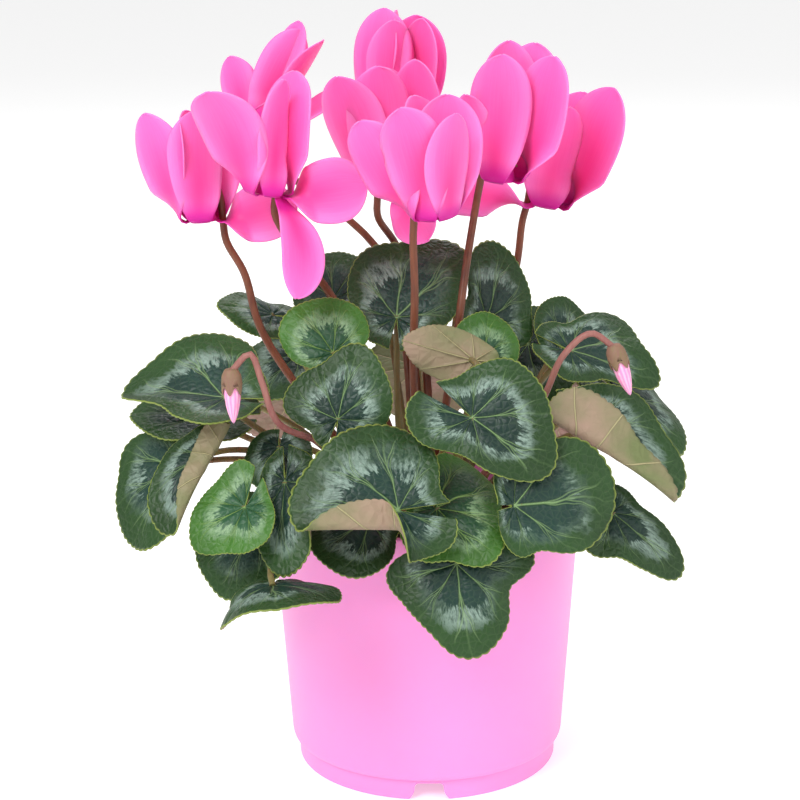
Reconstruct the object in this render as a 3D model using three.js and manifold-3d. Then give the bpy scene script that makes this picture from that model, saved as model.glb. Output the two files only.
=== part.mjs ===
// A potted cyclamen: a plastic pot with soil and a tuber, leaf after leaf on its own stalk,
// and nodding blooms whose petals are swept back. Millimetres, +Z up, the ground at z = 0.
import * as THREE from "three";
import { mergeVertices } from "three/addons/utils/BufferGeometryUtils.js";
import Module from "manifold-3d";

const wasm = await Module();
wasm.setup();

// Driving dimensions of the pot
const POT_HEIGHT = 113;
const RIM_RADIUS = 63.5;
const BODY_FOOT_RADIUS = 56.2;
const FOOT_RADIUS = 53.8;
const FOOT_HEIGHT = 8.8;
const POT_WALL = 1.6;
const LIP_HEIGHT = 11;
const LIP_STAND = 1.1;
const FLOOR_Z = 8;
const POT_SIDES = 28;
const NOTCH_COUNT = 3;
const NOTCH_WIDTH = 11.6;
const NOTCH_FLARE = 3.4;
const DRAIN_RADIUS = 4;
const DRAIN_CIRCLE = 31;

// Driving dimensions of the soil and the tuber
const SOIL_Z = 99;
const SOIL_SIDES = 16;
const SEAT_GAP = 0.3;
const TUBER_RADIUS = 27;
const TUBER_TOP_Z = 104;
const TUBER_DEPTH = 18;
const ROOT_SINK = 6;

// Driving dimensions of the plant
const BLADE = 0.7;
const STALK_RADIUS = 1.4;
const STEM_RADIUS = 1.65;
const BUD_STEM_RADIUS = 1.25;
const PETAL = 0.7;
const MOUTH_RADIUS = 5.2;
const TUBE_HEIGHT = 8.5;

const RAD = Math.PI / 180;
const clamp = THREE.MathUtils.clamp;
const V3 = (x, y, z) => new THREE.Vector3(x, y, z);
const vec = (a) => new THREE.Vector3(...a);

// Solids from three.js geometry, and back
function toSolid(geometry) {
  const bare = new THREE.BufferGeometry();
  bare.setAttribute("position", geometry.getAttribute("position"));
  if (geometry.index) bare.setIndex(geometry.index);
  const merged = mergeVertices(bare, 1e-4);
  const index = merged.index.array;
  const kept = [];
  for (let i = 0; i < index.length; i += 3) {
    const [a, b, c] = [index[i], index[i + 1], index[i + 2]];
    if (a !== b && b !== c && c !== a) kept.push(a, b, c);
  }
  const vertProperties = new Float32Array(merged.getAttribute("position").array);
  const triVerts = new Uint32Array(kept);
  return new wasm.Manifold(new wasm.Mesh({ numProp: 3, vertProperties, triVerts }));
}

// Where pieces join, a hollow that they seal is filled and a scrap is dropped: the largest shell stays
function largestShell(index, count) {
  const root = Array.from({ length: count }, (_, i) => i);
  const rootOf = (i) => {
    while (root[i] !== i) i = root[i] = root[root[i]];
    return i;
  };
  for (let i = 0; i < index.length; i += 3) {
    for (const k of [1, 2]) root[rootOf(index[i + k])] = rootOf(index[i]);
  }
  const sizes = new Map();
  for (const i of index) sizes.set(rootOf(i), (sizes.get(rootOf(i)) ?? 0) + 1);
  const [largest] = [...sizes.entries()].sort((a, b) => b[1] - a[1])[0];
  return index.filter((i) => rootOf(i) === largest);
}

function toGeometry(solid) {
  const mesh = solid.getMesh();
  const geometry = new THREE.BufferGeometry();
  const points = new Float32Array(mesh.numVert * 3);
  for (let i = 0; i < mesh.numVert; i++) {
    for (let k = 0; k < 3; k++) points[3 * i + k] = mesh.vertProperties[mesh.numProp * i + k];
  }
  geometry.setAttribute("position", new THREE.BufferAttribute(points, 3));
  geometry.setIndex(new THREE.BufferAttribute(largestShell(new Uint32Array(mesh.triVerts), mesh.numVert), 1));
  return geometry;
}

const join = (solids) => solids.reduce((all, one) => all.add(one));
const cut = (solid, tools) => solid.subtract(join(tools));

// A sheet with both faces split into triangles alike: points and normals, triangles, and its edge loop
function sheetSolid(points, normals, triangles, loop, thickness) {
  const positions = [];
  for (const side of [0.5, -0.5]) {
    points.forEach((p, i) => {
      positions.push(...p.clone().addScaledVector(normals[i], side * thickness).toArray());
    });
  }
  const n = points.length;
  const index = [];
  for (const [a, b, c] of triangles) {
    index.push(a, b, c, a + n, c + n, b + n);
  }
  loop.forEach((a, i) => {
    const b = loop[(i + 1) % loop.length];
    index.push(a, a + n, b + n, a, b + n, b);
  });
  const geometry = new THREE.BufferGeometry();
  geometry.setAttribute("position", new THREE.BufferAttribute(new Float32Array(positions), 3));
  geometry.setIndex(index);
  return toSolid(geometry);
}

// A closed tube of even thickness along a curve
function tubeSolid(curve, radius, sides, steps) {
  const section = new THREE.Shape();
  for (let i = 0; i < sides; i++) {
    const a = (i / sides) * 2 * Math.PI;
    const corner = [radius * Math.cos(a), radius * Math.sin(a)];
    if (i === 0) section.moveTo(...corner);
    else section.lineTo(...corner);
  }
  return toSolid(new THREE.ExtrudeGeometry(section, { steps, bevelEnabled: false, extrudePath: curve }));
}

function latheSolid(profile, sides) {
  const points = profile.map(([r, z]) => new THREE.Vector2(r, z));
  return toSolid(new THREE.LatheGeometry(points, sides).rotateX(Math.PI / 2));
}

function rodSolid(from, to, radius, sides) {
  return tubeSolid(new THREE.LineCurve3(from, to), radius, sides, 1);
}

// The plant leans out further to the left and the front, so the pot stands off the part's middle
const POT_AT = [7, 6];

const model = new THREE.Group();
model.position.set(POT_AT[0], POT_AT[1], 0);
function addPiece(name, solid, material) {
  const mesh = new THREE.Mesh(toGeometry(solid), material);
  mesh.name = name;
  model.add(mesh);
}

const finish = (color, roughness) => new THREE.MeshStandardMaterial({ color, roughness, metalness: 0 });

// Pot: foot ring with notches, a step out to the tapered body, and a lip at the top
const BODY_TAPER = (RIM_RADIUS - BODY_FOOT_RADIUS) / (POT_HEIGHT - FOOT_HEIGHT);
const bodyRadius = (z) => BODY_FOOT_RADIUS + BODY_TAPER * (z - FOOT_HEIGHT);

function makePot() {
  const wallTop = POT_HEIGHT - LIP_HEIGHT;
  const profile = [
    [0, FLOOR_Z],
    [FOOT_RADIUS - 2 * POT_WALL, FLOOR_Z - 0.6],
    [FOOT_RADIUS - POT_WALL, 0],
    [FOOT_RADIUS - 0.3, 0],
    [FOOT_RADIUS, FOOT_HEIGHT],
    [BODY_FOOT_RADIUS - 0.5, FOOT_HEIGHT + 0.3],
    [BODY_FOOT_RADIUS + 0.2, FOOT_HEIGHT + 2],
    [bodyRadius(wallTop), wallTop],
    [bodyRadius(wallTop) + LIP_STAND, wallTop + 0.5],
    [RIM_RADIUS + LIP_STAND - 0.4, POT_HEIGHT - 0.8],
    [RIM_RADIUS, POT_HEIGHT],
    [RIM_RADIUS - 1.2, POT_HEIGHT - 0.3],
    [bodyRadius(wallTop) - POT_WALL, wallTop],
    [BODY_FOOT_RADIUS - POT_WALL, FOOT_HEIGHT + 3],
    [BODY_FOOT_RADIUS - POT_WALL - 2, FLOOR_Z + 1.8],
    [0, FLOOR_Z + 1.8],
  ];
  const tools = [];
  for (let i = 0; i < NOTCH_COUNT; i++) {
    const notch = new THREE.Shape();
    const top = FOOT_HEIGHT - 1.6;
    notch.moveTo(-NOTCH_WIDTH / 2 - NOTCH_FLARE, -1);
    notch.lineTo(NOTCH_WIDTH / 2 + NOTCH_FLARE, -1);
    notch.quadraticCurveTo(NOTCH_WIDTH / 2, top * 0.2, NOTCH_WIDTH / 2, top);
    notch.lineTo(-NOTCH_WIDTH / 2, top);
    notch.quadraticCurveTo(-NOTCH_WIDTH / 2, top * 0.2, -NOTCH_WIDTH / 2 - NOTCH_FLARE, -1);
    const block = new THREE.ExtrudeGeometry(notch, { depth: 12, bevelEnabled: false, curveSegments: 2 });
    block.rotateX(Math.PI / 2).translate(0, -FOOT_RADIUS + 9, 0);
    tools.push(toSolid(block.rotateZ((i * 2 * Math.PI) / NOTCH_COUNT)));
    for (const turn of [30, 90]) {
      const a = (i * 120 + turn) * RAD;
      const at = V3(DRAIN_CIRCLE * Math.cos(a), DRAIN_CIRCLE * Math.sin(a), FLOOR_Z - 3);
      tools.push(rodSolid(at, at.clone().setZ(FLOOR_Z + 4), DRAIN_RADIUS, 6));
    }
  }
  tools.push(rodSolid(V3(0, 0, FLOOR_Z - 3), V3(0, 0, FLOOR_Z + 4), DRAIN_RADIUS, 6));
  return cut(latheSolid(profile, POT_SIDES), tools);
}

// Roots: every stem stands on its own side of the tuber's crown, in one of four rings,
// and neighbours in a ring are pushed apart to their least spacing
const ROOT_RINGS = { outer: 22, middle: 16, inner: 10.2, heart: 4.6 };
const ROOT_SPACING = 4.9;
const crownZ = (r) => TUBER_TOP_Z - 4.5 * (r / TUBER_RADIUS) ** 2;
const stemRoots = [];

function askRoot(ring, towards) {
  const stem = { ring, turn: Math.atan2(towards[1], towards[0]) };
  stemRoots.push(stem);
  return stem;
}

function spreadRoots() {
  for (const [ring, radius] of Object.entries(ROOT_RINGS)) {
    const stems = stemRoots.filter((stem) => stem.ring === ring).sort((a, b) => a.turn - b.turn);
    const least = ROOT_SPACING / radius;
    for (let round = 0; round < 80; round++) {
      stems.forEach((stem, i) => {
        const next = stems[(i + 1) % stems.length];
        const gap = next.turn - stem.turn + (i + 1 === stems.length ? 2 * Math.PI : 0);
        const push = Math.max(0, least - gap) / 2;
        stem.turn -= push;
        next.turn += push;
      });
    }
    for (const stem of stems) {
      stem.at = V3(radius * Math.cos(stem.turn), radius * Math.sin(stem.turn), crownZ(radius));
    }
  }
}

// The hole of a stem in the tuber lies along the first straight stretch of the stem
const rootHoles = [];
function holeFor(curve, radius, steps) {
  const foot = curve.getPoint(0);
  const above = curve.getPointAt(1 / steps);
  const below = foot.clone().sub(above).setLength(SEAT_GAP);
  rootHoles.push(rodSolid(foot.add(below), above, 1.15 * radius + 2 * SEAT_GAP, 4));
}

// The bend of a strip: angle in radians over its reach, at arc s, h above it; up is positive
function bent(angle, reach, s, h) {
  const k = angle / reach;
  if (Math.abs(k) < 1e-6) return [s, h];
  return [Math.sin(k * s) / k - h * Math.sin(k * s), (1 - Math.cos(k * s)) / k + h * Math.cos(k * s)];
}

// A smooth closed edge through its reaches at every 30 degrees, the first at the tip
function reachAt(edge, turn) {
  const place = (((turn / RAD / 30) % 12) + 12) % 12;
  const i = Math.floor(place);
  const t = place - i;
  const [a, b, c, d] = [edge[(i + 11) % 12], edge[i % 12], edge[(i + 1) % 12], edge[(i + 2) % 12]];
  return b + (t / 2) * (c - a + t * (2 * a - 5 * b + 4 * c - d + t * (3 * (b - c) + d - a)));
}

// A flap on one side, turned up round a radius from a start: the place aside and above of a point
function flapped(flap, u, v) {
  const [side, start, radius, angle, behind, ahead] = flap;
  const share = clamp((u - behind) / 0.25, 0, 1) * clamp((ahead - u) / 0.25, 0, 1);
  const fold = v * side > 0 ? angle * RAD * share : 0;
  if (fold === 0) return [Math.abs(v), 0, 0];
  const arc = clamp((Math.abs(v) - start) / radius, 0, fold);
  const rest = Math.max(0, Math.abs(v) - start - radius * fold);
  const aside = Math.min(Math.abs(v), start) + radius * Math.sin(arc) + rest * Math.cos(fold);
  return [aside, radius * (1 - Math.cos(arc)) + rest * Math.sin(fold), arc];
}

// Leaf outline round its stalk: 1 at the tip, rounded lobes behind, turn 0 at the tip
const SINUS = 9 * RAD;
function outline(turn, leaf) {
  if (leaf.edge) return reachAt(leaf.edge, turn);
  const heel = leaf.heel;
  const point = 0.07 * Math.exp(-((turn / 0.28) ** 2));
  const lobe = 0.05 * Math.exp(-(((Math.abs(turn) - 2.55) / 0.45) ** 2));
  return (0.93 + heel) / 2 + ((0.93 - heel) / 2) * Math.cos(turn) + point + lobe;
}

// A point of a leaf in its own frame, before it is placed: flat place (rho 0..1, turn) to bent form
function leafForm(leaf, rho, turn) {
  const far = outline(turn, leaf) * rho;
  const u = far * Math.cos(turn);
  const v = far * Math.sin(turn) * leaf.wide;
  const wave = leaf.wave[0] * rho ** 2 * Math.sin(leaf.wave[1] * turn + leaf.wave[2]);
  const side = (v > 0 ? leaf.left : leaf.right) * RAD;
  const [aside, above, arc] = flapped(leaf.flap, u, v);
  const [y, h] = bent(side, 0.85 * leaf.wide, aside, wave * Math.cos(arc) + above);
  const rise = h + Math.abs(y) * Math.tan(leaf.keel * RAD);
  const along = (u > 0 ? leaf.nose : -leaf.back) * RAD;
  const [x, z] = bent(along, u > 0 ? 1 : 0.6, u, rise);
  return V3(x, Math.sign(v) * y, z);
}

// The frame that sets a bent leaf with its stalk end and its tip on their places
function leafFrame(leaf) {
  const at = vec(leaf.at);
  const span = vec(leaf.tip).sub(at);
  const chord = leafForm(leaf, 1, 0);
  const scale = span.length() / Math.hypot(chord.x, chord.z);
  const drop = Math.atan2(chord.z, chord.x);
  const e1 = span.normalize();
  const e3 = vec(leaf.up);
  e3.addScaledVector(e1, -e3.dot(e1)).normalize();
  const e2 = e3.clone().cross(e1);
  const along = e1.clone().multiplyScalar(Math.cos(drop)).addScaledVector(e3, -Math.sin(drop));
  const rise = e3.clone().multiplyScalar(Math.cos(drop)).addScaledVector(e1, Math.sin(drop));
  return (p) => {
    const placed = at.clone().addScaledVector(along, scale * p.x);
    return placed.addScaledVector(e2, scale * p.y).addScaledVector(rise, scale * p.z);
  };
}

const LEAF_RINGS = [[0.58, 9], [1, 18]];
const TOOTH = 0.028;

function makeBlade(leaf) {
  const place = leafFrame(leaf);
  const points = [place(leafForm(leaf, 0, 0))];
  const normals = [];
  const normalAt = (rho, turn) => {
    const d = 0.01;
    const out = place(leafForm(leaf, rho + d, turn)).sub(place(leafForm(leaf, rho - d, turn)));
    const around = place(leafForm(leaf, rho, turn + d)).sub(place(leafForm(leaf, rho, turn - d)));
    return out.cross(around).normalize();
  };
  normals.push(normalAt(0.05, 0));
  const starts = [];
  for (const [rho, count] of LEAF_RINGS) {
    starts.push(points.length);
    for (let i = 0; i <= count; i++) {
      const turn = -Math.PI + SINUS + ((2 * Math.PI - 2 * SINUS) * i) / count;
      const toothed = rho === 1 && i % 2 === 1 ? 1 - 2 * TOOTH : rho;
      points.push(place(leafForm(leaf, toothed, turn)));
      normals.push(normalAt(toothed, turn));
    }
  }
  const triangles = [];
  for (let i = 0; i < LEAF_RINGS[0][1]; i++) triangles.push([0, starts[0] + i, starts[0] + i + 1]);
  for (let ring = 0; ring < LEAF_RINGS.length - 1; ring++) {
    for (let i = 0; i < LEAF_RINGS[ring][1]; i++) {
      const a = starts[ring] + i;
      const c = starts[ring + 1] + 2 * i;
      triangles.push([a, c, c + 1], [a, c + 1, a + 1], [a + 1, c + 1, c + 2]);
    }
  }
  const loop = [0, starts[0]];
  for (let i = 0; i <= LEAF_RINGS[1][1]; i++) loop.push(starts[1] + i);
  loop.push(starts[0] + LEAF_RINGS[0][1]);
  return sheetSolid(points, normals, triangles, loop, BLADE);
}

// The stalk of a leaf: from its root, up and out, to the underside of the blade
function stalkCurve(root, start, end, arrive, pull) {
  const reach = root.distanceTo(end);
  return new THREE.CubicBezierCurve3(
    root.clone().addScaledVector(start, -ROOT_SINK),
    root.clone().addScaledVector(start, reach * pull[0]),
    end.clone().addScaledVector(arrive, -reach * pull[1]),
    end.clone().addScaledVector(arrive, -BLADE / 2),
  );
}

const LEAF_DEFAULTS = {
  wide: 1, heel: 0.58, left: -18, right: -18, nose: -22, back: -18, keel: 5, wave: [0.02, 5, 0],
  flap: [0, 0, 1, 0, 0, 1], ring: "outer", tilt: 30, pull: [0.35, 0.25],
};

const STALK_SEAT = 0.07;
const STALK_STEPS = 4;
const STEM_STEPS = 9;
function makeLeaf(spec, stem) {
  const leaf = { ...LEAF_DEFAULTS, ...spec };
  const at = vec(leaf.at);
  const out = at.clone().sub(stem.at).setZ(0).normalize();
  const start = out.multiplyScalar(Math.sin(leaf.tilt * RAD)).setZ(Math.cos(leaf.tilt * RAD));
  const along = vec(leaf.tip).sub(at).normalize();
  const under = vec(leaf.up).normalize().multiplyScalar(0.8).addScaledVector(along, 0.45);
  const arrive = (leaf.arrive ? vec(leaf.arrive) : under).normalize();
  const seat = leafFrame(leaf)(leafForm(leaf, STALK_SEAT, 0));
  const curve = stalkCurve(stem.at, start, seat, arrive, leaf.pull);
  holeFor(curve, STALK_RADIUS, STALK_STEPS);
  return makeBlade(leaf).add(tubeSolid(curve, STALK_RADIUS, 3, STALK_STEPS));
}

// Leaves. at: stalk end; tip; up: where the upper face looks; edge: reach at every 30 degrees, as shares
// of the length; flap: side, start, radius, angle, and where it begins and ends along the leaf
const LEAVES = [
  // Front, top to bottom
  { at: [-33, -74, 163], tip: [-25, -62, 189],
    up: [-0.15, -0.85, 0.5], ring: "middle", left: -20, right: -30, wide: 0.95,
    edge: [1.0, 0.76, 0.82, 0.76, 0.42, 0.4, 0.4, 0.4, 0.42, 0.62, 0.76, 0.86] },
  { at: [16, -85, 166], tip: [44, -92, 146],
    up: [0.1, -0.9, 0.45], ring: "middle", left: 10, right: -20, keel: 8,
    edge: [1.0, 0.84, 0.78, 0.72, 0.56, 0.46, 0.58, 0.7, 0.62, 0.45, 0.45, 0.68] },
  { at: [-35, -52, 183], tip: [-48, -39, 199],
    up: [-0.15, -0.7, 0.7], ring: "inner", left: -30, right: -20,
    edge: [1.0, 0.96, 0.72, 0.45, 0.42, 0.4, 0.4, 0.4, 0.42, 0.68, 0.86, 0.94] },
  { at: [-11, -100, 136], tip: [-51, -100, 136],
    up: [-0.05, -0.85, 0.5], left: -5, right: -15, keel: 0, arrive: [0.2, -0.8, 0.5],
    flap: [1, 0.12, 0.07, 160, -0.1, 0.95],
    edge: [1.0, 0.78, 0.6, 0.5, 0.5, 0.58, 0.51, 0.44, 0.66, 0.82, 0.88, 0.92] },
  { at: [31, -93, 135], tip: [69, -83, 136],
    up: [0.25, -0.9, 0.35], wide: 1.15, arrive: [-0.35, -0.9, 0.2],
    edge: [1.0, 0.88, 0.56, 0.42, 0.3, 0.18, 0.16, 0.18, 0.3, 0.42, 0.45, 0.8] },
  { at: [3, -86, 132], tip: [22, -101, 115],
    up: [0.15, -0.85, 0.5], left: -45, right: -20, wide: 0.9,
    edge: [1.0, 0.96, 0.96, 1.32, 1.06, 0.6, 0.5, 0.4, 0.42, 0.66, 0.8, 0.76] },
  { at: [10, -93, 113], tip: [14, -102, 79],
    up: [0.05, -0.95, 0.3], left: -35, right: -35, pull: [0.45, 0.3], arrive: [0, -1, 0],
    edge: [1.0, 0.86, 0.64, 0.86, 0.42, 0.4, 0.4, 0.4, 0.42, 0.78, 0.7, 0.76] },
  { at: [-22, -66, 121], tip: [-27, -83, 104],
    up: [-0.1, -0.8, 0.6], left: -30, right: -30, wide: 1.15, arrive: [-0.1, -1, 0.1],
    edge: [1.0, 0.78, 0.48, 0.45, 0.42, 0.4, 0.4, 0.4, 0.45, 0.72, 0.9, 0.97] },
  { at: [-53, -76, 140], tip: [-53, -98, 110],
    up: [-0.3, -0.85, 0.4], wide: 0.62, flap: [1, 0.26, 0.04, 160, 0.1, 1.2],
    edge: [1.0, 0.92, 0.68, 0.55, 0.5, 0.4, 0.4, 0.4, 0.42, 0.45, 0.45, 0.82] },
  { at: [-57, -98, 107], tip: [-54, -126, 108],
    up: [0, -0.5, 0.87], left: -45, right: -90, wide: 1.35, heel: 0.3, tilt: 38, pull: [0.38, 0.35],
    arrive: [0.3, -0.9, -0.5] },
  // Left, front to back
  { at: [-67, -88, 134], tip: [-74, -97, 119],
    up: [-0.3, -0.9, 0.35], left: 5, right: -15, tilt: 28, arrive: [0.1, -1, 0.1],
    edge: [1.0, 0.96, 0.86, 0.68, 0.54, 0.56, 0.75, 1.0, 0.84, 0.94, 1.12, 1.3] },
  { at: [-76, -56, 167], tip: [-117, -42, 165],
    up: [-0.1, -0.4, 0.92], left: -15, right: -10, wide: 0.95, keel: 18,
    edge: [1.0, 0.58, 0.54, 0.54, 0.42, 0.4, 0.4, 0.4, 0.44, 0.66, 0.78, 0.88] },
  { at: [-84, -32, 154], tip: [-116, -26, 153],
    up: [-0.2, -0.45, 0.85], left: 10, right: -10, wide: 0.72 },
  { at: [-97, -42, 136], tip: [-114, -50, 106],
    up: [-0.65, -0.75, 0.25], left: 5, right: -5, wide: 0.8,
    edge: [1.0, 0.94, 0.66, 0.45, 0.42, 0.4, 0.4, 0.4, 0.48, 0.96, 0.88, 0.94] },
  { at: [-83, -66, 148], tip: [-97, -82, 121],
    up: [-0.45, -0.8, 0.3], left: 0, right: -15, wide: 0.8, flap: [1, 0.07, 0.07, 165, -0.6, 1.3],
    edge: [1.0, 0.75, 0.56, 0.55, 0.58, 0.45, 0.43, 0.4, 0.42, 0.58, 0.64, 0.88] },
  { at: [-66, -58, 118], tip: [-77, -72, 92],
    up: [-0.5, -0.8, 0.3], heel: 0.35 },
  { at: [-56, -58, 148], tip: [-58, -69, 133],
    up: [-0.4, -0.85, 0.4], ring: "middle", wide: 1.1, heel: 0.4 },
  // Right, front to back
  { at: [70, -62, 122], tip: [97, -62, 96],
    up: [0.55, -0.75, 0.5], left: -20, right: -20, wide: 0.75,
    edge: [1.0, 0.7, 0.45, 0.45, 0.42, 0.4, 0.4, 0.4, 0.42, 0.72, 0.6, 0.72] },
  { at: [63, -66, 157], tip: [98, -60, 131],
    up: [0.3, -0.75, 0.55], left: -15, right: 0, wide: 0.9, flap: [-1, 0.15, 0.06, 170, -0.8, 1.3],
    edge: [1.0, 0.68, 0.6, 0.48, 0.42, 0.4, 0.53, 0.65, 0.78, 0.72, 0.68, 0.85] },
  { at: [57, -22, 176], tip: [93, -14, 159],
    up: [0.3, -0.6, 0.75], ring: "middle", right: -25, wide: 0.82,
    edge: [1.0, 0.9, 1.02, 0.45, 0.42, 0.4, 0.4, 0.4, 0.42, 0.45, 0.45, 0.5] },
  { at: [78, -8, 155], tip: [103, -16, 131],
    up: [0.85, -0.4, 0.4] },
  // Crown
  { at: [-11, -18, 189], tip: [-8, 8, 214],
    up: [-0.05, -0.7, 0.7], ring: "inner", left: -14, right: -14,
    edge: [1.0, 0.92, 0.66, 0.45, 0.42, 0.4, 0.4, 0.4, 0.42, 0.6, 0.86, 1.2] },
  { at: [25, -2, 184], tip: [33, 20, 210],
    up: [0.45, -0.7, 0.55], ring: "inner", wide: 0.8,
    edge: [1.0, 0.92, 0.45, 0.45, 0.42, 0.4, 0.4, 0.4, 0.42, 0.76, 0.72, 0.86] },
  { at: [22, -42, 178], tip: [25, -31, 194],
    up: [0.2, -0.85, 0.5], ring: "inner", nose: -10, wide: 0.95, heel: 0.45 },
  { at: [18, -54, 180], tip: [-9, -58, 189],
    up: [0.2, 0.9, -0.35], ring: "middle", left: 32, right: 28, wide: 0.55, heel: 0.27 },
  { at: [56, 6, 174], tip: [60, 20, 188],
    up: [0.5, -0.5, 0.7], ring: "middle", heel: 0.4 },
  { at: [-37, 14, 190], tip: [-37, 33, 206],
    up: [-0.3, -0.5, 0.8], ring: "inner", heel: 0.4 },
  { at: [-61, 4, 186], tip: [-83, -2, 191],
    up: [-0.2, -0.4, 0.85], ring: "middle", left: -50, right: -30, wide: 0.8, heel: 0.5 },
  // Back
  { at: [17, 46, 199], tip: [26, 76, 195],
    up: [0.05, 0.2, 0.95], ring: "inner", nose: -35, wide: 0.85, heel: 0.35 },
  { at: [-52, 28, 164], tip: [-70, 14, 148],
    up: [-0.3, -0.6, 0.75], ring: "middle" },
  { at: [44, 34, 166], tip: [48, 18, 142],
    up: [0.2, -0.75, 0.6], ring: "middle" },
  { at: [-88, 36, 146], tip: [-112, 44, 118],
    up: [-0.85, 0.35, 0.4] },
  { at: [84, 38, 144], tip: [106, 46, 114],
    up: [0.85, 0.35, 0.4] },
  { at: [0, 92, 143], tip: [2, 113, 110],
    up: [0, 0.9, 0.4] },
  { at: [-52, 74, 140], tip: [-70, 94, 108],
    up: [-0.5, 0.8, 0.35] },
  { at: [50, 76, 136], tip: [64, 96, 106],
    up: [0.5, 0.8, 0.35] },
  { at: [-16, 60, 178], tip: [-30, 91, 168],
    up: [0, 0.6, 0.8], ring: "middle" },
];

// A petal is a ribbon that leaves the mouth of the bloom, turns back over its rim and rises.
// It turns by pitch (outwards), roll (about its length) and yaw (sideways), degrees over its length
const PETAL_STEPS = 30;
const PETAL_DEFAULTS = { long: 47, wide: 13.5, lean: 14, pitch: 18, skew: 38, roll: 10, yaw: 0, cup: 30 };
const PETAL_START = 35;
const PETAL_FOOT_Z = 1.4;
const PETAL_SINK = 0.3;
const HOOK_SHARE = 0.12;

function petalSpine(petal) {
  const out = V3(Math.cos(petal.turn * RAD), Math.sin(petal.turn * RAD), 0);
  const start = PETAL_START * RAD;
  const ahead = out.clone().multiplyScalar(Math.sin(start)).setZ(-Math.cos(start));
  const across = V3(0, 0, 1).cross(out);
  const at = out.clone().multiplyScalar(MOUTH_RADIUS - PETAL_SINK).setZ(PETAL_FOOT_Z);
  const step = petal.long / PETAL_STEPS;
  const frames = [{ at: at.clone(), across: across.clone(), normal: ahead.clone().cross(across) }];
  for (let i = 0; i < PETAL_STEPS; i++) {
    const s = (i + 0.5) / PETAL_STEPS;
    const hooked = s < HOOK_SHARE;
    const hook = (180 - PETAL_START - petal.lean) / (HOOK_SHARE * PETAL_STEPS);
    const rise = petal.pitch / (PETAL_STEPS * (1 - HOOK_SHARE));
    ahead.applyAxisAngle(across, (hooked ? -hook : rise) * RAD);
    if (!hooked) {
      const normal = ahead.clone().cross(across);
      const skew = s < 3 * HOOK_SHARE ? petal.skew / (2 * HOOK_SHARE * PETAL_STEPS) : 0;
      across.applyAxisAngle(ahead, (skew + petal.roll / PETAL_STEPS) * RAD);
      ahead.applyAxisAngle(normal, (petal.yaw / PETAL_STEPS) * RAD);
      across.applyAxisAngle(normal, (petal.yaw / PETAL_STEPS) * RAD);
    }
    at.addScaledVector(ahead, step);
    frames.push({ at: at.clone(), across: across.clone(), normal: ahead.clone().cross(across) });
  }
  return frames;
}

function petalHalfWidth(petal, s) {
  const belly = 0.62;
  if (s > belly) return petal.wide * Math.max(0, 1 - ((s - belly) / (1 - belly)) ** 2.2) ** 0.6;
  const t = Math.max(0, (s - 0.1) / (belly - 0.1));
  return petal.wide * (0.18 + 0.82 * t ** 1.2 * (2.2 - 1.2 * t));
}

const PETAL_ROWS = [0, 0.1, 0.3, 0.6, 0.87, 1];
const PETAL_COLUMNS = [-1, -0.4, 0.4, 1];

function makePetal(bloom, spec) {
  const petal = { ...PETAL_DEFAULTS, ...spec };
  const spine = petalSpine(petal);
  const points = [];
  const normals = [];
  for (const s of PETAL_ROWS) {
    const frame = spine[Math.round(s * PETAL_STEPS)];
    const half = petalHalfWidth(petal, s);
    for (const c of PETAL_COLUMNS) {
      const [y, h] = bent(petal.cup * RAD, petal.wide, Math.abs(c) * half, 0);
      const tilt = (petal.cup * RAD * Math.abs(c) * half) / petal.wide;
      const p = frame.at.clone().addScaledVector(frame.across, Math.sign(c) * y);
      const n = frame.normal.clone().multiplyScalar(Math.cos(tilt));
      n.addScaledVector(frame.across, -Math.sign(c) * Math.sin(tilt));
      points.push(bloom.place(p.addScaledVector(frame.normal, h)));
      normals.push(n.applyQuaternion(bloom.turn).normalize());
    }
  }
  const triangles = [];
  const columns = PETAL_COLUMNS.length;
  for (let r = 0; r < PETAL_ROWS.length - 1; r++) {
    for (let c = 0; c < columns - 1; c++) {
      const a = r * columns + c;
      const flip = c < columns / 2 - 1;
      if (flip) triangles.push([a, a + columns + 1, a + 1], [a, a + columns, a + columns + 1]);
      else triangles.push([a, a + columns, a + 1], [a + 1, a + columns, a + columns + 1]);
    }
  }
  const loop = [];
  const last = (PETAL_ROWS.length - 1) * columns;
  for (let c = 0; c < columns; c++) loop.push(c);
  for (let r = 1; r < PETAL_ROWS.length; r++) loop.push(r * columns + columns - 1);
  for (let c = columns - 2; c >= 0; c--) loop.push(last + c);
  for (let r = PETAL_ROWS.length - 2; r > 0; r--) loop.push(r * columns);
  return sheetSolid(points, normals, triangles, loop.reverse(), PETAL);
}

// The tube that carries the petals: open below, closed above where the calyx sits
function tubeOfBloom(bloom) {
  const profile = [
    [0, TUBE_HEIGHT - 1.4], [MOUTH_RADIUS - 0.5, 1], [MOUTH_RADIUS + 0.5, 1],
    [3.4, TUBE_HEIGHT - 0.6], [0, TUBE_HEIGHT],
  ];
  return latheSolid(profile, 6).transform(bloom.matrix.elements);
}

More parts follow.
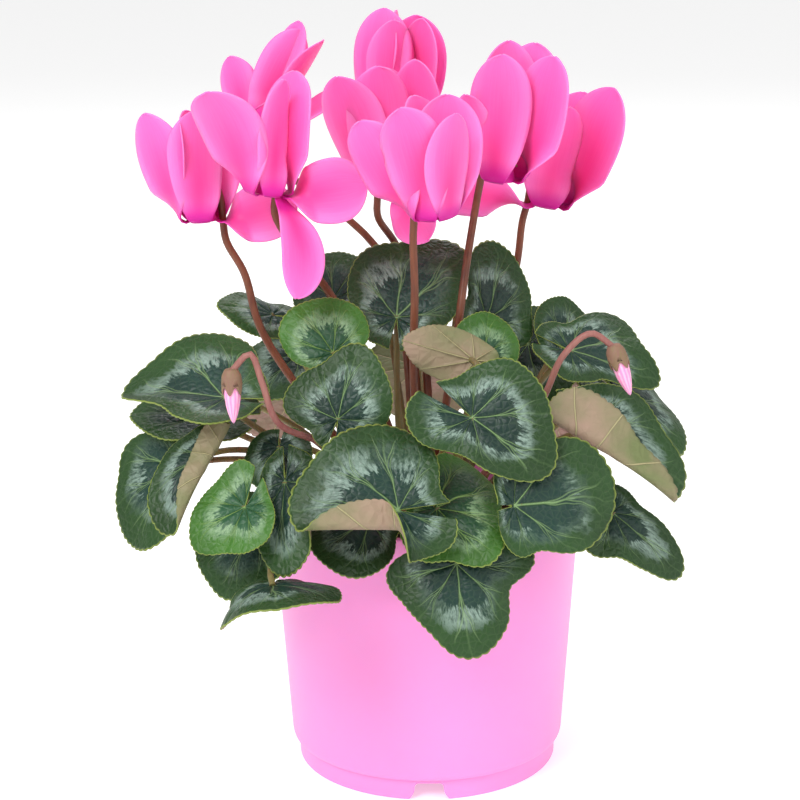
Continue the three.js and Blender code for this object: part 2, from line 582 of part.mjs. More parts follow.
// Calyx: a star of five sepals on the tube's top; the stem hooks over into it
function makeCalyx(bloom) {
  const profile = [
    [0, TUBE_HEIGHT + 0.3], [3.1, TUBE_HEIGHT - 0.1], [5.1, TUBE_HEIGHT - 2.4], [5.4, TUBE_HEIGHT - 1.6],
    [3.6, TUBE_HEIGHT + 1.4], [0, TUBE_HEIGHT + 2.4],
  ];
  const geometry = new THREE.LatheGeometry(profile.map(([r, z]) => new THREE.Vector2(r, z)), 10);
  geometry.rotateX(Math.PI / 2);
  const position = geometry.getAttribute("position");
  for (let i = 0; i < position.count; i++) {
    const radius = Math.hypot(position.getX(i), position.getY(i));
    const between = Math.floor(i / profile.length) % 2 === 1;
    if (between && radius > 4.9) {
      const keep = 0.72;
      const z = TUBE_HEIGHT + (radius > 5.2 ? 0.9 : -0.4);
      position.setXYZ(i, position.getX(i) * keep, position.getY(i) * keep, z);
    }
  }
  return toSolid(geometry).transform(bloom.matrix.elements);
}

const STEM_OUT = MOUTH_RADIUS + 3.1;
function stemHook(bloom) {
  const side = V3(Math.cos(bloom.stemSide * RAD), Math.sin(bloom.stemSide * RAD), 0);
  const spots = [
    [STEM_OUT + 0.8, -8], [STEM_OUT, 0], [STEM_OUT - 0.3, 9], [STEM_OUT - 2.6, 15.5],
    [2.6, 16.8], [0.4, 13.6], [0, TUBE_HEIGHT + 1.4],
  ];
  return spots.map(([r, z]) => bloom.place(side.clone().multiplyScalar(r).setZ(z)));
}

// Blooms. mouth: middle of the mouth; lean: how its axis leans from upright; petals by their turn
const BLOOMS = [
  {
    mouth: [-86, -12, 226], lean: [-0.05, 0.05], stemSide: 28, ring: "middle",
    waist: [[-64, -12, 182], [-71, -9, 206]],
    petals: [
      { turn: 188, lean: 30, pitch: -10, long: 48, wide: 12, skew: 52, roll: 0 },
      { turn: -92, lean: 5, pitch: 4, long: 46, wide: 11.5, skew: 22 },
      { turn: 0, lean: 88, long: 33, pitch: -14, skew: 84, roll: 0, wide: 12 },
      { turn: 60, lean: 8, pitch: 4, long: 46 },
      { turn: 115, lean: 2, long: 46 },
    ],
  },
  {
    mouth: [-59, -30, 239], lean: [0.1, 0.0], stemSide: 75, ring: "heart",
    waist: [[-34, -4, 190], [-48, -18, 214]],
    petals: [
      { turn: 205, lean: 30, pitch: 28, long: 48, wide: 14.5 },
      { turn: -78, lean: 6, pitch: 10, long: 47, wide: 9 },
      { turn: 14, lean: 5, pitch: 20, long: 50, wide: 12 },
      { turn: -5, lean: 80, long: 33, pitch: 14, skew: 84, roll: 0, wide: 13 },
      { turn: -42, lean: 132, pitch: 6, long: 47, wide: 8.5, skew: 10, roll: 30, yaw: -52 },
    ],
  },
  {
    mouth: [-65, 40, 256], lean: [0.35, 0.35], stemSide: 49, ring: "heart",
    waist: [[-16, 42, 201]],
    petals: [
      { turn: 195, lean: -2, long: 50, wide: 9 },
      { turn: 178, lean: 44, pitch: 2, long: 31, wide: 9, skew: 60, roll: 0 },
      { turn: -10, lean: 46, long: 42, wide: 9 },
      { turn: -60, lean: 24, long: 44, wide: 9 },
      { turn: -118, lean: 0, long: 46, wide: 10 },
    ],
  },
  {
    mouth: [-9, 50, 254], lean: [0, -0.1], stemSide: 100, ring: "heart",
    waist: [[-3, 40, 210]],
    petals: [
      { turn: 205, lean: 17, long: 54, pitch: -22 },
      { turn: 134, lean: 14, long: 52, pitch: -14 },
      { turn: 46, lean: 18, long: 50, pitch: -14 },
      { turn: -10, lean: 22, long: 50, pitch: -16 },
      { turn: -104, lean: 12, long: 49, pitch: -6, wide: 12 },
    ],
  },
  {
    mouth: [-10, 12, 233], lean: [-0.1, -0.1], stemSide: 175, ring: "heart",
    waist: [[-9, 26, 205]],
    petals: [
      { turn: 205, lean: 24, pitch: 4, long: 56, wide: 13.5 },
      { turn: -122, lean: 8, long: 57 },
      { turn: 90, lean: 4, pitch: 4, long: 54 },
      { turn: 10, lean: 24, pitch: -18, long: 57 },
      { turn: -76, lean: 105, long: 34, wide: 10 },
    ],
  },
  {
    mouth: [3.5, -44, 232], lean: [-0.05, -0.1], stemSide: 156, ring: "inner",
    waist: [[-4.6, -34, 166], [-4, -40, 205]],
    petals: [
      { turn: 192, lean: 38, pitch: -8, long: 46, wide: 13, skew: 56, roll: 0 },
      { turn: -118, lean: 12, wide: 12.5, long: 48, skew: 22, roll: 4, yaw: -20 },
      { turn: -48, lean: 18, pitch: 0, long: 43, wide: 11.5, skew: 0, roll: 0, yaw: 12 },
      { turn: 45, lean: 14 },
      { turn: 100, lean: 14 },
    ],
  },
  {
    mouth: [30.3, -12, 241], lean: [0.08, -0.1], stemSide: 165, ring: "heart",
    waist: [[13, -26, 188], [16, -20, 208]],
    petals: [
      { turn: -118, lean: 4, wide: 12.5, long: 53, skew: 22, roll: 0, yaw: -10 },
      { turn: -12, lean: 24, wide: 13, long: 55, pitch: -10, skew: 66, roll: 0 },
      { turn: 42, lean: 14, long: 56 },
      { turn: 100, lean: 2, long: 57, skew: 10, roll: 0 },
      { turn: 190, lean: 24, long: 38, wide: 7, skew: 60 },
    ],
  },
  {
    mouth: [50.5, 20, 226], lean: [0.15, -0.1], stemSide: 164, ring: "inner",
    waist: [[38, 22, 200]],
    petals: [
      { turn: -10, lean: 27, pitch: -10, wide: 16, long: 57, skew: 50, roll: 0 },
      { turn: -104, lean: 6, long: 45 },
      { turn: 190, lean: 86, long: 52, skew: 84, roll: 0, wide: 11 },
      { turn: 100, lean: 10, long: 49 },
      { turn: 45, lean: 14, long: 49 },
    ],
  },
];

function makeBloom(spec, rooted) {
  const up = V3(spec.lean[0], spec.lean[1], 1).normalize();
  const bloom = { ...spec, turn: new THREE.Quaternion().setFromUnitVectors(V3(0, 0, 1), up) };
  bloom.matrix = new THREE.Matrix4().compose(vec(spec.mouth), bloom.turn, V3(1, 1, 1));
  bloom.place = (p) => p.clone().applyMatrix4(bloom.matrix);
  const waist = spec.waist.map(vec);
  const start = waist[0].clone().sub(rooted.at).normalize().lerp(V3(0, 0, 1), 0.5).normalize();
  const foot = [-ROOT_SINK, 5].map((far) => rooted.at.clone().addScaledVector(start, far));
  const curve = new THREE.CatmullRomCurve3([...foot, ...waist, ...stemHook(bloom)], false, "centripetal");
  holeFor(curve, STEM_RADIUS, STEM_STEPS);
  return {
    petals: join([tubeOfBloom(bloom), ...spec.petals.map((petal) => makePetal(bloom, petal))]),
    stem: tubeSolid(curve, STEM_RADIUS, 5, STEM_STEPS).add(makeCalyx(bloom)),
  };
}

// Buds: an arched stem with the bud hanging from its end, sepals round the rolled petals
const BUD_LENGTH = 20;
const BUD_RADIUS = 3.3;
const BUDS = [
  {
    over: [[-38, -60, 149], [-55, -80, 164], [-60, -83, 180]], top: [-64, -82, 190], end: [-71, -82, 185],
    hang: [0.02, -0.05, -1],
  },
  {
    over: [[43, -59, 165], [51, -63, 184]], top: [61, -63, 192], end: [69, -63, 188], hang: [0.35, -0.05, -1],
  },
];

function makeBud(spec, rooted) {
  const hang = vec(spec.hang).normalize();
  const end = vec(spec.end);
  const turned = new THREE.Quaternion().setFromUnitVectors(V3(0, 0, 1), hang);
  const matrix = new THREE.Matrix4().compose(end, turned, V3(1, 1, 1));
  const over = spec.over.map(vec);
  const start = over[0].clone().sub(rooted.at).normalize().lerp(V3(0, 0, 1), 0.5).normalize();
  const foot = [-ROOT_SINK, 4].map((far) => rooted.at.clone().addScaledVector(start, far));
  const spots = [...foot, ...over, vec(spec.top), end.clone().addScaledVector(hang, 1.5)];
  const curve = new THREE.CatmullRomCurve3(spots, false, "centripetal");
  holeFor(curve, BUD_STEM_RADIUS, STEM_STEPS);
  const calyx = latheSolid([
    [0, 0], [2.4, 0.6], [3.6, 3], [4, 7], [3.2, 8.4], [3.1, 4], [1.6, 2.6], [0, 2.4],
  ], 8);
  const tip = latheSolid([
    [0, 2.8], [1.3, 3], [2.7, 4.5], [BUD_RADIUS, 12], [2.4, 17], [0, BUD_LENGTH + 0.8],
  ], 8);
  return {
    stem: tubeSolid(curve, BUD_STEM_RADIUS, 4, STEM_STEPS).add(calyx.transform(matrix.elements)),
    petals: tip.transform(matrix.elements),
  };
}

// Every stem asks for its root before the roots are spread, and is made after that
const LEAF_GREEN = finish(0x3a5f4a, 0.55);
const PETAL_PINK = finish(0xff6fcb, 0.5);
const STEM_BROWN = finish(0x7a3b28, 0.5);
const BUD_PINK = finish(0xf6a8cf, 0.5);
const BUD_BROWN = finish(0x7e4a4a, 0.55);

const leafRoots = LEAVES.map((leaf) => askRoot(leaf.ring ?? LEAF_DEFAULTS.ring, leaf.at));
const bloomRoots = BLOOMS.map((bloom) => askRoot(bloom.ring, bloom.waist[0]));
const budRoots = BUDS.map((bud) => askRoot("middle", bud.over[0]));
spreadRoots();

LEAVES.forEach((leaf, i) => {
  addPiece(`leaf_${String(i + 1).padStart(2, "0")}`, makeLeaf(leaf, leafRoots[i]), LEAF_GREEN);
});
BLOOMS.forEach((spec, i) => {
  const bloom = makeBloom(spec, bloomRoots[i]);
  addPiece(`bloom_${i + 1}_petals`, bloom.petals, PETAL_PINK);
  addPiece(`bloom_${i + 1}_stem`, bloom.stem, STEM_BROWN);
});
BUDS.forEach((spec, i) => {
  const bud = makeBud(spec, budRoots[i]);
  addPiece(`bud_${i + 1}_petals`, bud.petals, BUD_PINK);
  addPiece(`bud_${i + 1}_stem`, bud.stem, BUD_BROWN);
});

// The tuber, half sunk in the soil, with a plain hole for every stem
function makeTuber() {
  const under = TUBER_TOP_Z - TUBER_DEPTH;
  const profile = [[0, under], [TUBER_RADIUS * 0.7, under + 3], [TUBER_RADIUS, under + 9]];
  for (const share of [0.97, 0.6, 0]) profile.push([TUBER_RADIUS * share, crownZ(TUBER_RADIUS * share)]);
  return cut(latheSolid(profile, 14), rootHoles);
}

// Soil: fills the pot to below its lip, uneven on top, hollowed round the tuber
function makeSoil() {
  const tuberFoot = TUBER_TOP_Z - TUBER_DEPTH;
  const bottom = FLOOR_Z + 1.8 + SEAT_GAP;
  const side = (z) => bodyRadius(z) - POT_WALL - 0.35;
  const profile = [
    [0, bottom], [BODY_FOOT_RADIUS - POT_WALL - 2.8, bottom], [side(14) - 0.6, 14],
    [side(SOIL_Z - 4) - 0.8, SOIL_Z - 4],
  ];
  for (const share of [0.93, 0.75, 0.55]) profile.push([side(SOIL_Z) * share, SOIL_Z]);
  profile.push([0, SOIL_Z]);
  const geometry = new THREE.LatheGeometry(profile.map(([r, z]) => new THREE.Vector2(r, z)), SOIL_SIDES);
  geometry.rotateX(Math.PI / 2);
  const position = geometry.getAttribute("position");
  for (let i = 0; i < position.count; i++) {
    const [x, y, z] = [position.getX(i), position.getY(i), position.getZ(i)];
    const lump = 1.1 * Math.sin(0.31 * x + 1) * Math.cos(0.27 * y) + 0.7 * Math.sin(0.9 * x + 0.7 * y);
    if (Math.abs(z - SOIL_Z) < 1e-4) position.setZ(i, z + lump);
  }
  const seat = latheSolid([
    [0, tuberFoot - 0.4], [TUBER_RADIUS * 0.7 + 0.3, tuberFoot + 2.6], [TUBER_RADIUS + 0.4, tuberFoot + 8.6],
    [TUBER_RADIUS + 0.4, SOIL_Z + 4], [0, SOIL_Z + 4],
  ], 14);
  return toSolid(geometry).subtract(seat);
}

addPiece("pot", makePot(), finish(0xf89bdc, 0.42));
addPiece("soil", makeSoil(), finish(0x3a2c22, 0.95));
addPiece("tuber", makeTuber(), finish(0x6b4a38, 0.9));

export default model;
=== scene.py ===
# %% [markdown]
# # A potted cyclamen
# This lesson dresses the plain solids of a pot plant: a pink plastic pot, soil, a corky tuber, leaves with a
# silver band, and nodding blooms with petals swept back. The solids give every place and size. Here each of
# them is replaced by a finer mesh that follows the same formulas, and gets a finish of its own.

# %% Load the frame
import math

import bpy
import numpy as np
from mathutils import Matrix, Vector


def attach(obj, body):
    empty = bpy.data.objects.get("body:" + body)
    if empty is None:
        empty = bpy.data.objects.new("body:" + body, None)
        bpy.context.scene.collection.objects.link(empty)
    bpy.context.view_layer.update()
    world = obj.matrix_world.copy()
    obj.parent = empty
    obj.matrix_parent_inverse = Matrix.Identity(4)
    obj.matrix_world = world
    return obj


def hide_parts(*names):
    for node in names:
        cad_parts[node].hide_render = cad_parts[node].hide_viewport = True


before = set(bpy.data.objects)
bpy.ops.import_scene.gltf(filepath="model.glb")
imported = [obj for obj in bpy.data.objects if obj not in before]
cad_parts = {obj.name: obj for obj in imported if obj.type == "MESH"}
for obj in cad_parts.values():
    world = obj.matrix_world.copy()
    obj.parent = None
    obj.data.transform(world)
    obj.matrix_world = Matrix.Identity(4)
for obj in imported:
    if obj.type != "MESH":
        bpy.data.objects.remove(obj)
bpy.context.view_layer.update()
print("solids in the frame:", len(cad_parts))

# %% [markdown]
# ## Units and small helpers
# Sizes are written in millimetres round the pot's axis, as on a drawing, and become metres when a mesh is
# made. The pot stands a little off the middle of the whole plant, so that shift is added at the same time.

# %% Units
MM = 0.001
POT_AT = np.array([7.0, 6.0, 0.0])
RAD = math.pi / 180


def to_metres(points):
    """Points in the pot's own millimetres, as metres in the frame."""
    return (np.asarray(points, float) + POT_AT) * MM


def unit(v):
    """A vector, or an array of vectors, at length one."""
    v = np.asarray(v, float)
    return v / (np.linalg.norm(v, axis=-1, keepdims=True) + 1e-12)


def turned(v, axis, angle):
    """A vector turned about an axis by an angle in radians."""
    axis = unit(axis)
    c, s = math.cos(angle), math.sin(angle)
    return v * c + np.cross(axis, v) * s + axis * (axis @ v) * (1 - c)


def on_side(degrees):
    """The level direction at an angle round the upright axis."""
    return np.array([math.cos(degrees * RAD), math.sin(degrees * RAD), 0])


# %% [markdown]
# Every mesh here is a grid of points with a wall thickness, or a few such grids. One function turns points,
# faces, finishes and a UV map into an object whose origin stays at the world's origin.

# %% Meshes from points and faces
def show(name, data):
    """A new object in the scene, with a mesh, curve, lamp or camera."""
    shown = bpy.data.objects.new(name, data)
    bpy.context.scene.collection.objects.link(shown)
    return shown


def new_piece(name, points, faces, materials=(), uvs=None, sides=None):
    """A mesh object from millimetre points. uvs holds a (u, v) for each corner of each face, or one for
    all, and sides the number of each face's material."""
    mesh = bpy.data.meshes.new(name)
    mesh.from_pydata([tuple(p) for p in to_metres(points)], [], [tuple(f) for f in faces])
    for material in materials:
        mesh.materials.append(material)
    if sides is not None:
        mesh.polygons.foreach_set("material_index", np.asarray(sides, np.int32))
    if uvs is not None:
        layer = mesh.uv_layers.new(name="surface")
        layer.data.foreach_set("uv", np.broadcast_to(np.float32(uvs), (len(mesh.loops), 2)).ravel())
    mesh.polygons.foreach_set("use_smooth", np.ones(len(mesh.polygons), bool))
    return show(name, mesh)


def settle(piece, slot, *nodes):
    """The piece rides on the plant's one body and stands for its solids."""
    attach(piece, "root")
    if nodes:
        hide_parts(*nodes)
    return piece


def joined(name, pieces):
    """Several mesh objects as one object."""
    with bpy.context.temp_override(active_object=pieces[0], selected_editable_objects=pieces):
        bpy.ops.object.join()
    pieces[0].name = name
    pieces[0].data.name = name
    return pieces[0]


def worked_mesh(piece):
    """The mesh of an object with its modifiers worked in. The modifiers are removed."""
    bpy.context.view_layer.update()
    evaluated = piece.evaluated_get(bpy.context.evaluated_depsgraph_get())
    mesh = bpy.data.meshes.new_from_object(evaluated)
    piece.modifiers.clear()
    return mesh


# %% [markdown]
# ## Camera, floor and light
# The plant is seen from a little above, about 0.85 m away, through a long lens, so the rim looks like a flat
# ellipse and the foot like a rounder one. A white floor runs far enough back to fill the view. One large
# soft lamp stands left of the camera, a weaker one right of it, and a pale sky fills the shadows.

# %% Camera
VIEW_PITCH = 14.5 * RAD
VIEW_ROLL = -0.6 * RAD
VIEW_FROM = (-10.0, -785.4, 354.1)
LENS_MM = 90
SENSOR_MM = 36
SIGHT_M = 50

camera_data = bpy.data.cameras.new("camera")
camera_data.lens = LENS_MM
camera_data.sensor_width = SENSOR_MM
camera_data.clip_end = SIGHT_M
camera = show("camera", camera_data)
looking = Matrix.Rotation(math.pi / 2 - VIEW_PITCH, 4, "X") @ Matrix.Rotation(VIEW_ROLL, 4, "Z")
camera.matrix_world = Matrix.Translation(to_metres(VIEW_FROM)) @ looking
bpy.context.scene.camera = camera
print("lens, mm:", LENS_MM)

# %% [markdown]
# Finishes are built from shader nodes, and two pieces from geometry nodes. One function adds a node of any
# kind with its settings and links, so each node takes one line. Colours are written as sRGB hex values, as a
# colour chart gives them.

# %% Colours and a node helper
MATH, MIX, RANGE = "ShaderNodeMath", "ShaderNodeMix", "ShaderNodeMapRange"
NOISE, BUMP, CELLS = "ShaderNodeTexNoise", "ShaderNodeBump", "ShaderNodeTexVoronoi"
TIMES = dict(operation="MULTIPLY")
TIMES_PLUS = dict(operation="MULTIPLY_ADD")
SMOOTH = dict(interpolation_type="SMOOTHSTEP")
COLOUR = dict(data_type="RGBA")
CELL_EDGES = dict(feature="DISTANCE_TO_EDGE")


def hex_colour(text):
    """An sRGB hex colour as linear RGBA."""
    channels = [int(text[i:i + 2], 16) / 255 for i in (1, 3, 5)]
    linear = [c / 12.92 if c <= 0.04045 else ((c + 0.055) / 1.055) ** 2.4 for c in channels]
    return (*linear, 1.0)


def add_node(tree, kind, *fed, **named):
    """Adds a node. Its live inputs are fed in order, or by name, each by a value, a hex colour, a socket, or
    a node's first live output. Any other name is a setting of the node."""
    made = tree.nodes.new(kind)
    for name in [n for n in named if hasattr(made, n)]:
        setattr(made, name, named.pop(name))
    feeds = list(zip([socket for socket in made.inputs if socket.enabled], fed))
    feeds += [(made.inputs[name.replace("_", " ")], value) for name, value in named.items()]
    for socket, value in feeds:
        if isinstance(value, bpy.types.Node):
            value = next(output for output in value.outputs if output.enabled)
        if isinstance(value, bpy.types.NodeSocket):
            tree.links.new(value, socket)
        else:
            socket.default_value = hex_colour(value) if isinstance(value, str) else value
    return made


def new_material(name, roughness, **shader):
    """A material with a Principled shader, and its tree and shader for the nodes that follow."""
    material = bpy.data.materials.new(name)
    material.use_nodes = True
    principled = material.node_tree.nodes["Principled BSDF"]
    for key, value in dict(Roughness=roughness, **shader).items():
        principled.inputs[key.replace("_", " ")].default_value = value
    return material, material.node_tree, principled


def dress(tree, shader, colour, relief=None):
    """Feeds the shader its colour, and its relief where there is one."""
    tree.links.new(colour.outputs[2], shader.inputs["Base Color"])
    if relief:
        tree.links.new(relief.outputs["Normal"], shader.inputs["Normal"])


# %% Floor and lamps
FLOOR_SIZE_M = 24.0
floor_material, floor_tree, floor_shader = new_material(
    "matt white studio paper, lit through from below", 0.9,
    Emission_Color=(1.0, 1.0, 1.0, 1.0), Emission_Strength=0.35,
)
paper = add_node(floor_tree, NOISE, Scale=3.0, Detail=2.0)
dress(floor_tree, floor_shader, add_node(floor_tree, MIX, paper, "#F2F2F2", "#F6F6F6", **COLOUR))
half = FLOOR_SIZE_M / 2
floor_mesh = bpy.data.meshes.new("floor")
corners = [(-half, -half, 0), (half, -half, 0), (half, half, 0), (-half, half, 0)]
floor_mesh.from_pydata(corners, [], [(0, 1, 2, 3)])
floor_mesh.materials.append(floor_material)
floor = show("floor", floor_mesh)

LAMPS = [
    dict(name="key lamp", place=(-0.8, -1.2, 1.5), size=1.0, power=30),
    dict(name="fill lamp", place=(1.2, -0.9, 1.0), size=1.4, power=9),
    dict(name="back lamp", place=(0.2, 1.3, 1.6), size=1.2, power=12),
]
LIT_AT = Vector((0, 0, 0.16))
for lamp in LAMPS:
    light_data = bpy.data.lights.new(lamp["name"], "AREA")
    light_data.energy = lamp["power"]
    light_data.size = lamp["size"]
    light = show(lamp["name"], light_data)
    light.location = lamp["place"]
    light.rotation_euler = (LIT_AT - Vector(lamp["place"])).to_track_quat("-Z", "Y").to_euler()

SKY_STRENGTH = 0.6
world = bpy.data.worlds.new("pale sky")
world.use_nodes = True
world.node_tree.nodes["Background"].inputs["Color"].default_value = (1, 1, 1, 1)
world.node_tree.nodes["Background"].inputs["Strength"].default_value = SKY_STRENGTH
bpy.context.scene.world = world
bpy.context.scene.view_settings.view_transform = "Standard"
print("lamps:", len(LAMPS))

# %% [markdown]
# ## Pot plastic
# The pot is injection-moulded polypropylene, dyed pink through. Such a pot is neither matt nor shiny: the
# light spreads into a wide soft highlight. The mould leaves a very fine grain, and the colour drifts a
# little where the melt flowed. A little light enters the thin wall, so the shader scatters some below the
# surface.

# %% Pot plastic
POT_GRAIN_MM = 0.5
pot_plastic, tree, shader = new_material(
    "moulded pink polypropylene", 0.4,
    Specular_IOR_Level=0.42, Subsurface_Weight=0.12, Subsurface_Scale=0.004,
)
place = add_node(tree, "ShaderNodeTexCoord").outputs["Object"]
flow = add_node(tree, NOISE, place, Scale=14.0, Detail=3.0)
tint = add_node(tree, MIX, flow, "#EE8CCC", "#F497D6", **COLOUR)
grain = add_node(tree, NOISE, place, Scale=1 / (POT_GRAIN_MM * MM), Detail=2.0)
dress(tree, shader, tint, add_node(tree, BUMP, Strength=0.05, Distance=0.0003, Height=grain))

# %% [markdown]
# ## Potting soil and tuber skin
# Potting soil is peat: dark brown, dull and crumbly, in crumbs of 1 to 3 mm with paler fibres. The tuber's
# skin is cork, dull and cracked. Both are rough all over, and differ in their scale and colour.

# %% Potting soil
CRUMB_MM = 2.0
peat, tree, shader = new_material("damp peat potting soil", 0.95, Specular_IOR_Level=0.2)
place = add_node(tree, "ShaderNodeTexCoord").outputs["Object"]
lumps = add_node(tree, NOISE, place, Scale=1 / (CRUMB_MM * MM), Detail=4.0)
tint = add_node(tree, MIX, lumps, "#1E140E", "#5A4636", **COLOUR)
dress(tree, shader, tint, add_node(tree, BUMP, Strength=0.8, Distance=0.001, Height=lumps))

# %% Tuber skin
CORK_CRACK_MM = 4.0
cork, tree, shader = new_material("corky tuber skin", 0.9, Specular_IOR_Level=0.25)
place = add_node(tree, "ShaderNodeTexCoord").outputs["Object"]
cracks = add_node(tree, CELLS, place, Scale=1 / (CORK_CRACK_MM * MM), **CELL_EDGES)
tint = add_node(tree, MIX, cracks, "#33231A", "#8A6248", **COLOUR)
dress(tree, shader, tint, add_node(tree, BUMP, Strength=0.7, Distance=0.001, Height=cracks))

# %% [markdown]
# ## Leaf, upper side
# A cyclamen leaf is dark blue-green in its middle, with a few pale veins that fan out from the stalk, fork
# and fade before the margin. Halfway out lies silver, where the skin stands clear of the flesh and the air
# below it reflects. It lies in ragged patches, brushed outwards in fine strokes, and the veins cut through
# it. Outside it the leaf is a warmer green, with a thin yellow-green line along the teeth. All of this
# follows the leaf's own polar map: u goes once round the stalk, v goes from the stalk to the margin. Young
# leaves have the same pattern in fresher greens.

# %% Leaf, upper side
VEIN_STEP_DEG = 40.0
VEIN_SWAY_DEG = 14.0
VEIN_FORKS = ((0.2, 15.0), (0.46, 26.0))
VEIN_NET_MM = 2.6
STROKE_DEG = 3.2
STROKES_OUT = 9.0


def leaf_skin(name, heart, outer, silver, vein):
    """The upper skin of a leaf in four colours."""
    skin, tree, shader = new_material(name, 0.42, Specular_IOR_Level=0.3)
    polar = add_node(tree, "ShaderNodeSeparateXYZ", add_node(tree, "ShaderNodeUVMap", uv_map="surface"))
    place = add_node(tree, "ShaderNodeTexCoord").outputs["Object"]
    rho = polar.outputs["Y"]
    # Main veins wander a little about their even turns, and fade outwards
    wander = add_node(tree, NOISE, place, Scale=90.0, Detail=1.0)
    sway = add_node(tree, MATH, wander, VEIN_SWAY_DEG, -180.0 - VEIN_SWAY_DEG / 2, **TIMES_PLUS)
    turn = add_node(tree, MATH, polar.outputs["X"], 360.0, sway, **TIMES_PLUS)
    off_vein = add_node(tree, MATH, turn, VEIN_STEP_DEG / 2, operation="PINGPONG")
    gap = add_node(tree, MATH, off_vein, rho, **TIMES)
    line = add_node(tree, RANGE, gap, 0.15, 1.0, 1.0, 0.0, **SMOOTH)
    fade = add_node(tree, RANGE, rho, 0.25, 0.85, 1.0, 0.1, **SMOOTH)
    veins = add_node(tree, MATH, line, fade, **TIMES)
    # Each fork leaves a main vein at a share of the way out, and drifts from it by so many degrees
    for leaves_at, slope in VEIN_FORKS:
        aim = add_node(tree, MATH, rho, slope, -slope * leaves_at, **TIMES_PLUS)
        past = add_node(tree, MATH, off_vein, aim, operation="SUBTRACT")
        near = add_node(tree, MATH, past, operation="ABSOLUTE")
        wide = add_node(tree, MATH, near, rho, **TIMES)
        fork = add_node(tree, RANGE, wide, 0.1, 0.6, 0.55, 0.0, **SMOOTH)
        begun = add_node(tree, RANGE, rho, leaves_at, leaves_at + 0.04, 0.0, 1.0, **SMOOTH)
        ended = add_node(tree, RANGE, rho, leaves_at + 0.2, 0.92, 1.0, 0.0, **SMOOTH)
        shown = add_node(tree, MATH, fork, add_node(tree, MATH, begun, ended, **TIMES), **TIMES)
        veins = add_node(tree, MATH, veins, shown, operation="MAXIMUM")
    # Silver: a band of strokes along the radius, moved in and out by patches and broken by clouds
    strokes_at = add_node(tree, "ShaderNodeCombineXYZ", turn, rho, wander)
    drawn_out = add_node(tree, "ShaderNodeMapping", strokes_at, Scale=(1 / STROKE_DEG, STROKES_OUT, 1.0))
    strokes = add_node(tree, NOISE, drawn_out, Scale=1.0, Detail=4.0, Roughness=0.65)
    patches = add_node(tree, NOISE, place, Scale=75.0, Detail=2.0)
    moved = add_node(tree, MATH, patches, 0.55, rho, **TIMES_PLUS)
    torn = add_node(tree, MATH, strokes, 0.42, moved, **TIMES_PLUS)
    band_in = add_node(tree, RANGE, torn, 0.985, 1.03, 0.0, 1.0, **SMOOTH)
    band_out = add_node(tree, RANGE, torn, 1.15, 1.28, 1.0, 0.0, **SMOOTH)
    ring = add_node(tree, MATH, band_in, band_out, **TIMES)
    clouds = add_node(tree, NOISE, place, Scale=38.0, Detail=2.5)
    cloud_edge = add_node(tree, MATH, strokes, 0.3, clouds, **TIMES_PLUS)
    cloud = add_node(tree, RANGE, cloud_edge, 0.58, 0.7, 0.16, 1.0, **SMOOTH)
    thin = add_node(tree, RANGE, strokes, 0.34, 0.62, 0.1, 0.8)
    brushed = add_node(tree, MATH, add_node(tree, MATH, ring, cloud, **TIMES), thin, **TIMES)
    # Green: two tones that meet in the silver, in broad lights and darks, under a faint net
    zone = add_node(tree, RANGE, torn, 0.95, 1.3, 0.0, 1.0, **SMOOTH)
    green = add_node(tree, MIX, zone, heart, outer, **COLOUR)
    broad = add_node(tree, NOISE, place, Scale=22.0, Detail=3.0)
    shade = add_node(tree, RANGE, broad, 0.35, 0.65, 0.72, 1.25)
    toned = add_node(tree, "ShaderNodeVectorMath", green, Scale=shade, operation="SCALE")
    net = add_node(tree, CELLS, place, Scale=1 / (VEIN_NET_MM * MM), **CELL_EDGES)
    net_line = add_node(tree, RANGE, net, 0.0, 0.1, 0.05, 0.0)
    netted = add_node(tree, MIX, net_line, toned, vein, **COLOUR)
    silvered = add_node(tree, MIX, brushed, netted, silver, **COLOUR)
    veined = add_node(tree, MIX, add_node(tree, MATH, veins, 0.8, **TIMES), silvered, vein, **COLOUR)
    margin = add_node(tree, RANGE, rho, 0.972, 0.995, 0.0, 0.75, **SMOOTH)
    margined = add_node(tree, MIX, margin, veined, "#8C9A48", **COLOUR)
    pillow = add_node(tree, MATH, veins, -1.0, net, **TIMES_PLUS)
    dress(tree, shader, margined, add_node(tree, BUMP, Strength=0.6, Distance=0.0009, Height=pillow))
    return skin


leaf_upper = leaf_skin("waxy leaf, upper side", "#16322A", "#22401A", "#8CA296", "#7E9C66")
young_upper = leaf_skin("young leaf, upper side", "#22492E", "#35601E", "#86A47C", "#88AA5E")

# %% [markdown]
# ## Leaf, under side
# From below the leaf is a dull beige, flushed with pink and green, and the veins stand out of it. The same
# polar map gives the veins their places, so they lie under those of the upper side.

# %% Leaf, under side
leaf_under, tree, shader = new_material("leaf, under side", 0.6, Specular_IOR_Level=0.35)
polar = add_node(tree, "ShaderNodeSeparateXYZ", add_node(tree, "ShaderNodeUVMap", uv_map="surface"))
place = add_node(tree, "ShaderNodeTexCoord").outputs["Object"]
turn = add_node(tree, MATH, polar.outputs["X"], 360.0, -180.0, **TIMES_PLUS)
off_vein = add_node(tree, MATH, turn, VEIN_STEP_DEG / 2, operation="PINGPONG")
gap = add_node(tree, MATH, off_vein, polar.outputs["Y"], **TIMES)
rib = add_node(tree, RANGE, gap, 0.2, 0.9, 1.0, 0.0, **SMOOTH)
blotches = add_node(tree, NOISE, place, Scale=32.0, Detail=4.0)
flush = add_node(tree, RANGE, blotches, 0.35, 0.65, 0.0, 1.0)
flushed = add_node(tree, MIX, flush, "#6A7348", "#A08474", **COLOUR)
ribbed = add_node(tree, MIX, rib, flushed, "#A29A72", **COLOUR)
